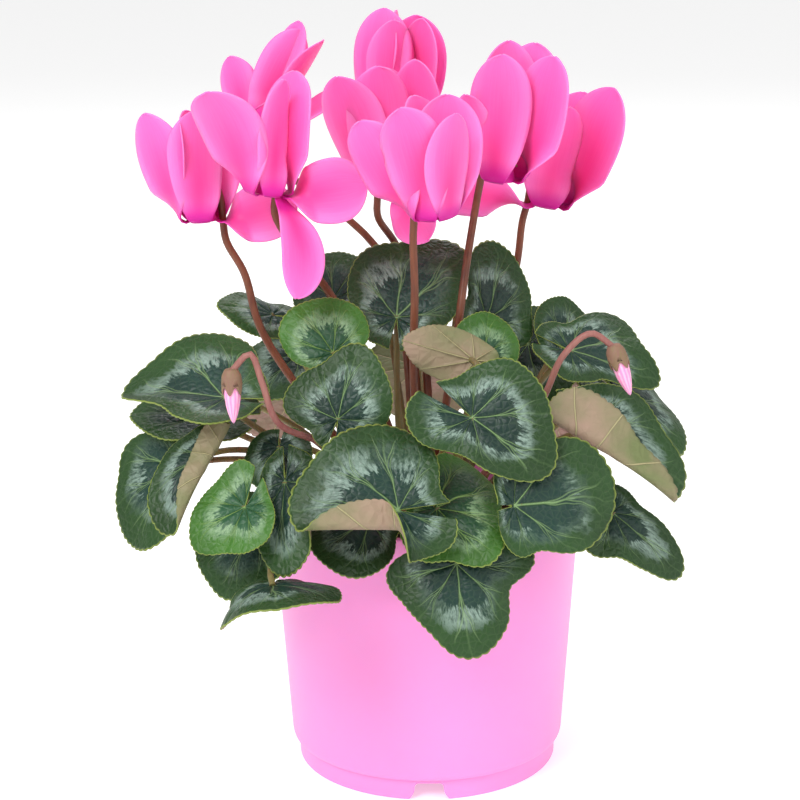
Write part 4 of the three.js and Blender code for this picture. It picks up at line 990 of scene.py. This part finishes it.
# %% Leaf places
LEAVES = [
    # Front, top to bottom
    dict(at=[-33, -74, 163], tip=[-25, -62, 189],
        up=[-0.15, -0.85, 0.5], ring="middle", left=-20, right=-30, wide=0.95,
        edge=[1.0, 0.76, 0.82, 0.76, 0.42, 0.4, 0.4, 0.4, 0.42, 0.62, 0.76, 0.86]),
    dict(at=[16, -85, 166], tip=[44, -92, 146],
        up=[0.1, -0.9, 0.45], ring="middle", left=10, right=-20, keel=8,
        edge=[1.0, 0.84, 0.78, 0.72, 0.56, 0.46, 0.58, 0.7, 0.62, 0.45, 0.45, 0.68]),
    dict(at=[-35, -52, 183], tip=[-48, -39, 199],
        up=[-0.15, -0.7, 0.7], ring="inner", left=-30, right=-20,
        edge=[1.0, 0.96, 0.72, 0.45, 0.42, 0.4, 0.4, 0.4, 0.42, 0.68, 0.86, 0.94]),
    dict(at=[-11, -100, 136], tip=[-51, -100, 136],
        up=[-0.05, -0.85, 0.5], left=-5, right=-15, keel=0, arrive=[0.2, -0.8, 0.5],
        flap=[1, 0.12, 0.07, 160, -0.1, 0.95],
        edge=[1.0, 0.78, 0.6, 0.5, 0.5, 0.58, 0.51, 0.44, 0.66, 0.82, 0.88, 0.92]),
    dict(at=[31, -93, 135], tip=[69, -83, 136],
        up=[0.25, -0.9, 0.35], wide=1.15, arrive=[-0.35, -0.9, 0.2],
        edge=[1.0, 0.88, 0.56, 0.42, 0.3, 0.18, 0.16, 0.18, 0.3, 0.42, 0.45, 0.8]),
    dict(at=[3, -86, 132], tip=[22, -101, 115],
        up=[0.15, -0.85, 0.5], left=-45, right=-20, wide=0.9,
        edge=[1.0, 0.96, 0.96, 1.32, 1.06, 0.6, 0.5, 0.4, 0.42, 0.66, 0.8, 0.76]),
    dict(at=[10, -93, 113], tip=[14, -102, 79],
        up=[0.05, -0.95, 0.3], left=-35, right=-35, pull=[0.45, 0.3], arrive=[0, -1, 0],
        edge=[1.0, 0.86, 0.64, 0.86, 0.42, 0.4, 0.4, 0.4, 0.42, 0.78, 0.7, 0.76]),
    dict(at=[-22, -66, 121], tip=[-27, -83, 104],
        up=[-0.1, -0.8, 0.6], left=-30, right=-30, wide=1.15, arrive=[-0.1, -1, 0.1],
        edge=[1.0, 0.78, 0.48, 0.45, 0.42, 0.4, 0.4, 0.4, 0.45, 0.72, 0.9, 0.97]),
    dict(at=[-53, -76, 140], tip=[-53, -98, 110],
        up=[-0.3, -0.85, 0.4], wide=0.62, flap=[1, 0.26, 0.04, 160, 0.1, 1.2],
        edge=[1.0, 0.92, 0.68, 0.55, 0.5, 0.4, 0.4, 0.4, 0.42, 0.45, 0.45, 0.82]),
    dict(at=[-57, -98, 107], tip=[-54, -126, 108],
        up=[0, -0.5, 0.87], left=-45, right=-90, wide=1.35, heel=0.3, tilt=38, pull=[0.38, 0.35],
        arrive=[0.3, -0.9, -0.5]),
    # Left, front to back
    dict(at=[-67, -88, 134], tip=[-74, -97, 119],
        up=[-0.3, -0.9, 0.35], left=5, right=-15, tilt=28, arrive=[0.1, -1, 0.1],
        edge=[1.0, 0.96, 0.86, 0.68, 0.54, 0.56, 0.75, 1.0, 0.84, 0.94, 1.12, 1.3]),
    dict(at=[-76, -56, 167], tip=[-117, -42, 165],
        up=[-0.1, -0.4, 0.92], left=-15, right=-10, wide=0.95, keel=18,
        edge=[1.0, 0.58, 0.54, 0.54, 0.42, 0.4, 0.4, 0.4, 0.44, 0.66, 0.78, 0.88]),
    dict(at=[-84, -32, 154], tip=[-116, -26, 153],
        up=[-0.2, -0.45, 0.85], left=10, right=-10, wide=0.72),
    dict(at=[-97, -42, 136], tip=[-114, -50, 106],
        up=[-0.65, -0.75, 0.25], left=5, right=-5, wide=0.8,
        edge=[1.0, 0.94, 0.66, 0.45, 0.42, 0.4, 0.4, 0.4, 0.48, 0.96, 0.88, 0.94]),
    dict(at=[-83, -66, 148], tip=[-97, -82, 121],
        up=[-0.45, -0.8, 0.3], left=0, right=-15, wide=0.8, flap=[1, 0.07, 0.07, 165, -0.6, 1.3],
        edge=[1.0, 0.75, 0.56, 0.55, 0.58, 0.45, 0.43, 0.4, 0.42, 0.58, 0.64, 0.88]),
    dict(at=[-66, -58, 118], tip=[-77, -72, 92],
        up=[-0.5, -0.8, 0.3], heel=0.35),
    dict(at=[-56, -58, 148], tip=[-58, -69, 133],
        up=[-0.4, -0.85, 0.4], ring="middle", wide=1.1, heel=0.4),
    # Right, front to back
    dict(at=[70, -62, 122], tip=[97, -62, 96],
        up=[0.55, -0.75, 0.5], left=-20, right=-20, wide=0.75,
        edge=[1.0, 0.7, 0.45, 0.45, 0.42, 0.4, 0.4, 0.4, 0.42, 0.72, 0.6, 0.72]),
    dict(at=[63, -66, 157], tip=[98, -60, 131],
        up=[0.3, -0.75, 0.55], left=-15, right=0, wide=0.9, flap=[-1, 0.15, 0.06, 170, -0.8, 1.3],
        edge=[1.0, 0.68, 0.6, 0.48, 0.42, 0.4, 0.53, 0.65, 0.78, 0.72, 0.68, 0.85]),
    dict(at=[57, -22, 176], tip=[93, -14, 159],
        up=[0.3, -0.6, 0.75], ring="middle", right=-25, wide=0.82,
        edge=[1.0, 0.9, 1.02, 0.45, 0.42, 0.4, 0.4, 0.4, 0.42, 0.45, 0.45, 0.5]),
    dict(at=[78, -8, 155], tip=[103, -16, 131],
        up=[0.85, -0.4, 0.4]),
    # Crown
    dict(at=[-11, -18, 189], tip=[-8, 8, 214],
        up=[-0.05, -0.7, 0.7], ring="inner", left=-14, right=-14,
        edge=[1.0, 0.92, 0.66, 0.45, 0.42, 0.4, 0.4, 0.4, 0.42, 0.6, 0.86, 1.2]),
    dict(at=[25, -2, 184], tip=[33, 20, 210],
        up=[0.45, -0.7, 0.55], ring="inner", wide=0.8,
        edge=[1.0, 0.92, 0.45, 0.45, 0.42, 0.4, 0.4, 0.4, 0.42, 0.76, 0.72, 0.86]),
    dict(at=[22, -42, 178], tip=[25, -31, 194],
        up=[0.2, -0.85, 0.5], ring="inner", nose=-10, wide=0.95, heel=0.45),
    dict(at=[18, -54, 180], tip=[-9, -58, 189],
        up=[0.2, 0.9, -0.35], ring="middle", left=32, right=28, wide=0.55, heel=0.27),
    dict(at=[56, 6, 174], tip=[60, 20, 188],
        up=[0.5, -0.5, 0.7], ring="middle", heel=0.4),
    dict(at=[-37, 14, 190], tip=[-37, 33, 206],
        up=[-0.3, -0.5, 0.8], ring="inner", heel=0.4),
    dict(at=[-61, 4, 186], tip=[-83, -2, 191],
        up=[-0.2, -0.4, 0.85], ring="middle", left=-50, right=-30, wide=0.8, heel=0.5),
    # Back
    dict(at=[17, 46, 199], tip=[26, 76, 195],
        up=[0.05, 0.2, 0.95], ring="inner", nose=-35, wide=0.85, heel=0.35),
    dict(at=[-52, 28, 164], tip=[-70, 14, 148],
        up=[-0.3, -0.6, 0.75], ring="middle"),
    dict(at=[44, 34, 166], tip=[48, 18, 142],
        up=[0.2, -0.75, 0.6], ring="middle"),
    dict(at=[-88, 36, 146], tip=[-112, 44, 118],
        up=[-0.85, 0.35, 0.4]),
    dict(at=[84, 38, 144], tip=[106, 46, 114],
        up=[0.85, 0.35, 0.4]),
    dict(at=[0, 92, 143], tip=[2, 113, 110],
        up=[0, 0.9, 0.4]),
    dict(at=[-52, 74, 140], tip=[-70, 94, 108],
        up=[-0.5, 0.8, 0.35]),
    dict(at=[50, 76, 136], tip=[64, 96, 106],
        up=[0.5, 0.8, 0.35]),
    dict(at=[-16, 60, 178], tip=[-30, 91, 168],
        up=[0, 0.6, 0.8], ring="middle"),
]

# %% [markdown]
# ## Blooms
# A bloom nods: its mouth looks down, and five petals leave it, turn back over its rim and rise. A petal is
# a ribbon along a spine that turns, as the solids' formula says. The grid across it is cupped, its margin
# ripples a little, and it is thickened to a closed body.

# %% Petal form
PETAL = 0.55
PETAL_STEPS = 30
PETAL_ROWS = 34
PETAL_COLUMNS = 16
PETAL_DEFAULTS = dict(long=47, wide=13.5, lean=14, pitch=18, skew=38, roll=10, yaw=0, cup=30)
PETAL_START = 35
PETAL_FOOT_Z = 1.4
PETAL_SINK = 0.3
HOOK_SHARE = 0.12
BELLY_SHARE = 0.62
LEAST_HALF_WIDTH = 0.6
MARGIN_RIPPLE = 0.7
MIDDLE_RIPPLE = 0.25
MOUTH_RADIUS = 5.2


def petal_spine(petal):
    """The frames of a petal's spine: place, across and normal at each step."""
    out = on_side(petal["turn"])
    ahead = out * math.sin(PETAL_START * RAD) - np.array([0, 0, math.cos(PETAL_START * RAD)])
    across = np.cross([0, 0, 1], out)
    at = out * (MOUTH_RADIUS - PETAL_SINK) + np.array([0, 0, PETAL_FOOT_Z])
    frames = [(at, across, np.cross(ahead, across))]
    hook = (180 - PETAL_START - petal["lean"]) / (HOOK_SHARE * PETAL_STEPS)
    rise = petal["pitch"] / (PETAL_STEPS * (1 - HOOK_SHARE))
    for i in range(PETAL_STEPS):
        s = (i + 0.5) / PETAL_STEPS
        hooked = s < HOOK_SHARE
        ahead = turned(ahead, across, (-hook if hooked else rise) * RAD)
        if not hooked:
            normal = np.cross(ahead, across)
            skew = petal["skew"] / (2 * HOOK_SHARE * PETAL_STEPS) if s < 3 * HOOK_SHARE else 0
            across = turned(across, ahead, (skew + petal["roll"] / PETAL_STEPS) * RAD)
            ahead = turned(ahead, normal, petal["yaw"] / PETAL_STEPS * RAD)
            across = turned(across, normal, petal["yaw"] / PETAL_STEPS * RAD)
        at = at + ahead * petal["long"] / PETAL_STEPS
        frames.append((at, across, np.cross(ahead, across)))
    return frames


def petal_half_width(petal, s):
    """Half the petal's width along its length: broad foot, broader belly, softly pointed tip."""
    if s > BELLY_SHARE:
        return petal["wide"] * max(0, 1 - ((s - BELLY_SHARE) / (1 - BELLY_SHARE)) ** 2.2) ** 0.6
    x = s / BELLY_SHARE
    return petal["wide"] * (0.24 + 0.76 * x ** 1.1 * (2.1 - 1.1 * x))


def smooth_frame(frames, s):
    """The spine's frame at any share of its length."""
    x = s * (len(frames) - 1)
    i = min(int(x), len(frames) - 2)
    t = x - i
    at, across, normal = ((1 - t) * a + t * b for a, b in zip(frames[i], frames[i + 1]))
    return at, unit(across), unit(normal)


def set_in(points, at, axes):
    """Points of a bloom's or a bud's own frame, in their place on the plant."""
    return np.asarray(at, float) + np.asarray(points, float) @ axes


def make_petal(spec, seed, at, axes):
    """A petal as points, faces and UVs, in its place on the plant."""
    petal = {**PETAL_DEFAULTS, **spec}
    frames = petal_spine(petal)
    phase = np.random.default_rng(seed).uniform(0, WHOLE_TURN)
    shares = 1 - (1 - np.linspace(0, 1, PETAL_ROWS)) ** 1.35
    grid = []
    for s in shares:
        middle, across, normal = smooth_frame(frames, s)
        half = max(petal_half_width(petal, s), LEAST_HALF_WIDTH)
        for c in np.linspace(-1, 1, PETAL_COLUMNS + 1):
            y, h = bent(petal["cup"] * RAD, petal["wide"], abs(c) * half, 0.0)
            h += MARGIN_RIPPLE * s * abs(c) ** 3 * math.sin(9 * s + phase + (2 if c > 0 else 0))
            h += MIDDLE_RIPPLE * math.cos(math.pi * c) * math.sin(math.pi * s)
            grid.append(middle + across * math.copysign(y, c) + normal * h)
    grid = np.array(grid).reshape(PETAL_ROWS, PETAL_COLUMNS + 1, 3)
    points = sheet(set_in(grid, at, axes), sheet_normals(grid) @ axes, PETAL)
    count = len(points) // 2
    faces, uvs = sheet_faces(np.linspace(0, 1, PETAL_COLUMNS + 1), shares, count)
    loop = sheet_edge(PETAL_ROWS, PETAL_COLUMNS + 1) + list(range(PETAL_COLUMNS - 1, 0, -1))
    for a, b in zip(loop, loop[1:] + loop[:1]):
        uvs += [(0.0, shares[point // (PETAL_COLUMNS + 1)]) for point in (a, a, b, b)]
    return points, faces + rim_faces(loop, count), uvs


# %% [markdown]
# The petals meet in a short tube with a deep magenta mouth. On top of it sits the calyx, a star of five
# small sepals, and the stem hooks over into it from one side, between two petals.

# %% Mouth, calyx and stem
TUBE_HEIGHT = 8.5
TUBE_STEPS = 40
TUBE_SECTION = (
    (0, TUBE_HEIGHT - 1.4), (MOUTH_RADIUS - 0.5, 1), (MOUTH_RADIUS + 0.35, 1), (3.4, TUBE_HEIGHT - 0.6),
    (0, TUBE_HEIGHT),
)
CALYX_TOP = TUBE_HEIGHT + 2.1
CALYX_RINGS = 8
CALYX_STEPS = 60
STEM_RADIUS = 1.65
STEM_RINGS = 70
STEM_RISE = 5
STEM_OUT = MOUTH_RADIUS + 3.1
STEM_HOOK = (
    (STEM_OUT + 0.8, -8), (STEM_OUT, 0), (STEM_OUT - 0.3, 9), (STEM_OUT - 2.6, 15.5), (2.6, 16.8),
    (0.4, 13.6), (0, TUBE_HEIGHT + 1.4),
)
PATH_STEPS = 10


def catmull_rom(spots, steps):
    """Points of a centripetal spline through the spots, evenly shared over their stretches."""
    spots = [np.array(p, float) for p in spots]
    ends = [2 * spots[0] - spots[1]] + spots + [2 * spots[-1] - spots[-2]]
    out = []
    for p0, p1, p2, p3 in zip(ends, ends[1:], ends[2:], ends[3:]):
        d0, d1, d2 = (math.sqrt(np.linalg.norm(b - a)) for a, b in ((p0, p1), (p1, p2), (p2, p3)))
        m1 = ((p1 - p0) / d0 - (p2 - p0) / (d0 + d1) + (p2 - p1) / d1) * d1
        m2 = ((p2 - p1) / d1 - (p3 - p1) / (d1 + d2) + (p3 - p2) / d2) * d1
        for t in np.arange(steps) / steps:
            a = (2 * t ** 3 - 3 * t ** 2 + 1) * p1 + (t ** 3 - 2 * t ** 2 + t) * m1
            out.append(a + (-2 * t ** 3 + 3 * t ** 2) * p2 + (t ** 3 - t ** 2) * m2)
    return np.array(out + [spots[-1]])


def axes_to(direction):
    """Rows of the rotation that turns +Z to a direction."""
    up = unit(direction)
    angle = math.acos(max(-1, min(1, up[2])))
    return np.stack([turned(row, np.cross([0, 0, 1], up), angle) for row in np.eye(3)])


def make_calyx(at, axes):
    """Five pointed sepals that sit on the tube and droop a little."""
    shares = np.arange(1, CALYX_RINGS + 1) / CALYX_RINGS
    points = [(0, 0, TUBE_HEIGHT + 0.4)]
    for t, below in [(t, 0.5 + 1.2 * (1 - t) ** 2) for t in shares] + [(t, 0) for t in shares[::-1]]:
        for a in np.arange(CALYX_STEPS) * 2 * math.pi / CALYX_STEPS:
            reach = 3.4 + 2.3 * abs(math.cos(2.5 * a)) ** 2.2
            z = CALYX_TOP - 3.6 * t ** 2.4 * (reach / 5.6) - below
            points.append((reach * t * math.cos(a), reach * t * math.sin(a), z))
    points.append((0, 0, CALYX_TOP))
    faces = lathe_faces(2 * CALYX_RINGS, CALYX_STEPS)
    return new_piece("calyx", set_in(points, at, axes), faces, [calyx_olive], (0.5, 0.5))


def grow_stem(name, slot, root, rise, spots, ends, rings, skin, calyx):
    """A stem that rises from its root and runs through the spots, joined to its calyx. ends are its radii."""
    start = unit(0.5 * unit(np.array(spots[0]) - root["at"]) + [0, 0, 0.5])
    path = catmull_rom([root["at"] + start * far for far in (-ROOT_SINK, rise)] + spots, PATH_STEPS)
    stem = stalk(name, path, *ends, rings, skin)
    settle(joined("fine_" + name, [stem, calyx]), slot, name)


def make_bloom(number, spec, root):
    """The petals of a bloom as one piece, and its stem with the calyx as another."""
    at, axes = spec["mouth"], axes_to([*spec["lean"], 1])
    points, faces, uvs = [], [], []
    for index, petal in enumerate(spec["petals"]):
        more_points, more_faces, more_uvs = make_petal(petal, 10 * number + index, at, axes)
        shift = sum(map(len, points))
        points.append(more_points)
        faces += [tuple(i + shift for i in face) for face in more_faces]
        uvs += more_uvs
    name = f"bloom_{number}_petals"
    petals = new_piece("fine_" + name, np.concatenate(points), faces, [petal_satin], uvs)
    points, faces = lathe(rounded(TUBE_SECTION, 0.8), TUBE_STEPS)
    tube = new_piece("tube", set_in(points, at, axes), faces, [petal_satin], (0.5, 0.05))
    settle(joined("fine_" + name, [petals, tube]), "petal", name)
    hook = [set_in(on_side(spec["stem_side"]) * r + [0, 0, z], at, axes) for r, z in STEM_HOOK]
    grow_stem(
        f"bloom_{number}_stem", "flower_stem", root, STEM_RISE, spec["waist"] + hook,
        (STEM_RADIUS * 1.08, STEM_RADIUS * 0.85), STEM_RINGS, stem_brown, make_calyx(at, axes),
    )


# %% [markdown]
# Each bloom is one row too: the middle of its mouth, how it leans, where its stem comes up, and its petals
# by the side that they leave on.

# %% Bloom places
BLOOMS = [
    dict(
        mouth=[-86, -12, 226], lean=[-0.05, 0.05], stem_side=28, ring="middle",
        waist=[[-64, -12, 182], [-71, -9, 206]],
        petals=[
            dict(turn=188, lean=30, pitch=-10, long=48, wide=12, skew=52, roll=0),
            dict(turn=-92, lean=5, pitch=4, long=46, wide=11.5, skew=22),
            dict(turn=0, lean=88, long=33, pitch=-14, skew=84, roll=0, wide=12),
            dict(turn=60, lean=8, pitch=4, long=46),
            dict(turn=115, lean=2, long=46),
        ],
    ),
    dict(
        mouth=[-59, -30, 239], lean=[0.1, 0.0], stem_side=75, ring="heart",
        waist=[[-34, -4, 190], [-48, -18, 214]],
        petals=[
            dict(turn=205, lean=30, pitch=28, long=48, wide=14.5),
            dict(turn=-78, lean=6, pitch=10, long=47, wide=9),
            dict(turn=14, lean=5, pitch=20, long=50, wide=12),
            dict(turn=-5, lean=80, long=33, pitch=14, skew=84, roll=0, wide=13),
            dict(turn=-42, lean=132, pitch=6, long=47, wide=8.5, skew=10, roll=30, yaw=-52),
        ],
    ),
    dict(
        mouth=[-65, 40, 256], lean=[0.35, 0.35], stem_side=49, ring="heart",
        waist=[[-16, 42, 201]],
        petals=[
            dict(turn=195, lean=-2, long=50, wide=9),
            dict(turn=178, lean=44, pitch=2, long=31, wide=9, skew=60, roll=0),
            dict(turn=-10, lean=46, long=42, wide=9),
            dict(turn=-60, lean=24, long=44, wide=9),
            dict(turn=-118, lean=0, long=46, wide=10),
        ],
    ),
    dict(
        mouth=[-9, 50, 254], lean=[0, -0.1], stem_side=100, ring="heart",
        waist=[[-3, 40, 210]],
        petals=[
            dict(turn=205, lean=17, long=54, pitch=-22),
            dict(turn=134, lean=14, long=52, pitch=-14),
            dict(turn=46, lean=18, long=50, pitch=-14),
            dict(turn=-10, lean=22, long=50, pitch=-16),
            dict(turn=-104, lean=12, long=49, pitch=-6, wide=12),
        ],
    ),
    dict(
        mouth=[-10, 12, 233], lean=[-0.1, -0.1], stem_side=175, ring="heart",
        waist=[[-9, 26, 205]],
        petals=[
            dict(turn=205, lean=24, pitch=4, long=56, wide=13.5),
            dict(turn=-122, lean=8, long=57),
            dict(turn=90, lean=4, pitch=4, long=54),
            dict(turn=10, lean=24, pitch=-18, long=57),
            dict(turn=-76, lean=105, long=34, wide=10),
        ],
    ),
    dict(
        mouth=[3.5, -44, 232], lean=[-0.05, -0.1], stem_side=156, ring="inner",
        waist=[[-4.6, -34, 166], [-4, -40, 205]],
        petals=[
            dict(turn=192, lean=38, pitch=-8, long=46, wide=13, skew=56, roll=0),
            dict(turn=-118, lean=12, wide=12.5, long=48, skew=22, roll=4, yaw=-20),
            dict(turn=-48, lean=18, pitch=0, long=43, wide=11.5, skew=0, roll=0, yaw=12),
            dict(turn=45, lean=14),
            dict(turn=100, lean=14),
        ],
    ),
    dict(
        mouth=[30.3, -12, 241], lean=[0.08, -0.1], stem_side=165, ring="heart",
        waist=[[13, -26, 188], [16, -20, 208]],
        petals=[
            dict(turn=-118, lean=4, wide=12.5, long=53, skew=22, roll=0, yaw=-10),
            dict(turn=-12, lean=24, wide=13, long=55, pitch=-10, skew=66, roll=0),
            dict(turn=42, lean=14, long=56),
            dict(turn=100, lean=2, long=57, skew=10, roll=0),
            dict(turn=190, lean=24, long=38, wide=7, skew=60),
        ],
    ),
    dict(
        mouth=[50.5, 20, 226], lean=[0.15, -0.1], stem_side=164, ring="inner",
        waist=[[38, 22, 200]],
        petals=[
            dict(turn=-10, lean=27, pitch=-10, wide=16, long=57, skew=50, roll=0),
            dict(turn=-104, lean=6, long=45),
            dict(turn=190, lean=86, long=52, skew=84, roll=0, wide=11),
            dict(turn=100, lean=10, long=49),
            dict(turn=45, lean=14, long=49),
        ],
    ),
]

# %% [markdown]
# ## Buds
# A bud hangs from an arched stem. Its petals are still rolled into a point, with the roll's edge running
# round it as a shallow groove, and the sepals close round its top.

# %% Buds
BUD_RADIUS = 3.3
BUD_FOOT = 2.9
BUD_TIP = 20.8
BUD_ROWS = 26
BUD_COLUMNS = 40
BUD_STEM_RADIUS = 1.25
BUD_STEM_RINGS = 60
BUD_STEM_RISE = 4
SEPAL_STEPS = 40
SEPAL_EDGE_Z = 6.5
SEPAL_SECTION = (
    (0, 0), (2.4, 0.6), (3.6, 3), (3.9, 7), (3.6, 8.6), (3.3, 8.4), (3.2, 4), (1.6, 2.6), (0, 2.4),
)


def make_bud(number, spec, root):
    """The rolled petals of a bud, and its stem with the sepals."""
    at, axes = spec["end"], axes_to(spec["hang"])
    points = [(0, 0, BUD_FOOT)]
    for t in np.arange(1, BUD_ROWS) / BUD_ROWS:
        radius = BUD_RADIUS * math.sin(math.pi * t ** 0.8) ** 0.62 * (1.04 - 0.28 * t)
        for a in np.arange(BUD_COLUMNS) * 2 * math.pi / BUD_COLUMNS:
            r = radius * (1 - 0.1 * max(0, math.cos(2.5 * (a - 2.4 * t))) ** 6)
            points.append((r * math.cos(a), r * math.sin(a), BUD_FOOT + (BUD_TIP - BUD_FOOT) * t))
    points.append((0, 0, BUD_TIP))
    uvs = []
    for i in range(BUD_COLUMNS):
        left, right = i / BUD_COLUMNS, (i + 1) / BUD_COLUMNS
        uvs += [(left, 0)] * 3
        for low, high in ((r / BUD_ROWS, (r + 1) / BUD_ROWS) for r in range(BUD_ROWS - 2)):
            uvs += [(left, low), (right, low), (right, high), (left, high)]
        uvs += [(left, 1)] * 3
    name = f"bud_{number}_petals"
    faces = lathe_faces(BUD_ROWS - 1, BUD_COLUMNS)
    settle(new_piece("fine_" + name, set_in(points, at, axes), faces, [bud_pink], uvs), "bud", name)
    points, faces = lathe(rounded(SEPAL_SECTION, 0.6), SEPAL_STEPS)
    points = np.array(points)
    waves = 1.5 * np.cos(5 * np.arctan2(points[:, 1], points[:, 0]))
    points[:, 2] += np.where(points[:, 2] > SEPAL_EDGE_Z, waves, 0)
    sepals = new_piece("sepals", set_in(points, at, axes), faces, [bud_calyx_skin], (0.5, 0.5))
    grow_stem(
        f"bud_{number}_stem", "bud_stem", root, BUD_STEM_RISE,
        [*spec["over"], spec["top"], np.array(at) + unit(spec["hang"]) * 1.5],
        (BUD_STEM_RADIUS * 1.1, BUD_STEM_RADIUS * 0.95), BUD_STEM_RINGS, bud_stem_brown, sepals,
    )


# %% Bud places
BUDS = [
    dict(
        over=[[-38, -60, 149], [-55, -80, 164], [-60, -83, 180]], top=[-64, -82, 190], end=[-71, -82, 185],
        hang=[0.02, -0.05, -1],
    ),
    dict(
        over=[[43, -59, 165], [51, -63, 184]], top=[61, -63, 192], end=[69, -63, 188], hang=[0.35, -0.05, -1],
    ),
]

# %% [markdown]
# ## Growing the plant
# All stalks ask for their root first, in the order in which the solids were made. Then the roots are
# spread, and each leaf, bloom and bud is made on its own root.

# %% Grow
leaf_roots = [ask_root(leaf.get("ring", LEAF_DEFAULTS["ring"]), leaf["at"]) for leaf in LEAVES]
bloom_roots = [ask_root(bloom["ring"], bloom["waist"][0]) for bloom in BLOOMS]
bud_roots = [ask_root("middle", bud["over"][0]) for bud in BUDS]
spread_roots()
grown = ((make_leaf, LEAVES, leaf_roots), (make_bloom, BLOOMS, bloom_roots), (make_bud, BUDS, bud_roots))
for make, specs, own_roots in grown:
    for number, (spec, root) in enumerate(zip(specs, own_roots), 1):
        make(number, spec, root)
print("leaves:", len(LEAVES), "blooms:", len(BLOOMS), "buds:", len(BUDS))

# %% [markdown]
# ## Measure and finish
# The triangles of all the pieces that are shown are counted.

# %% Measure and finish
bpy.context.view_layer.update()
rendered = [piece for piece in bpy.data.objects if piece.type == "MESH" and not piece.hide_render]
print("triangles shown:", sum(len(face.vertices) - 2 for piece in rendered for face in piece.data.polygons))
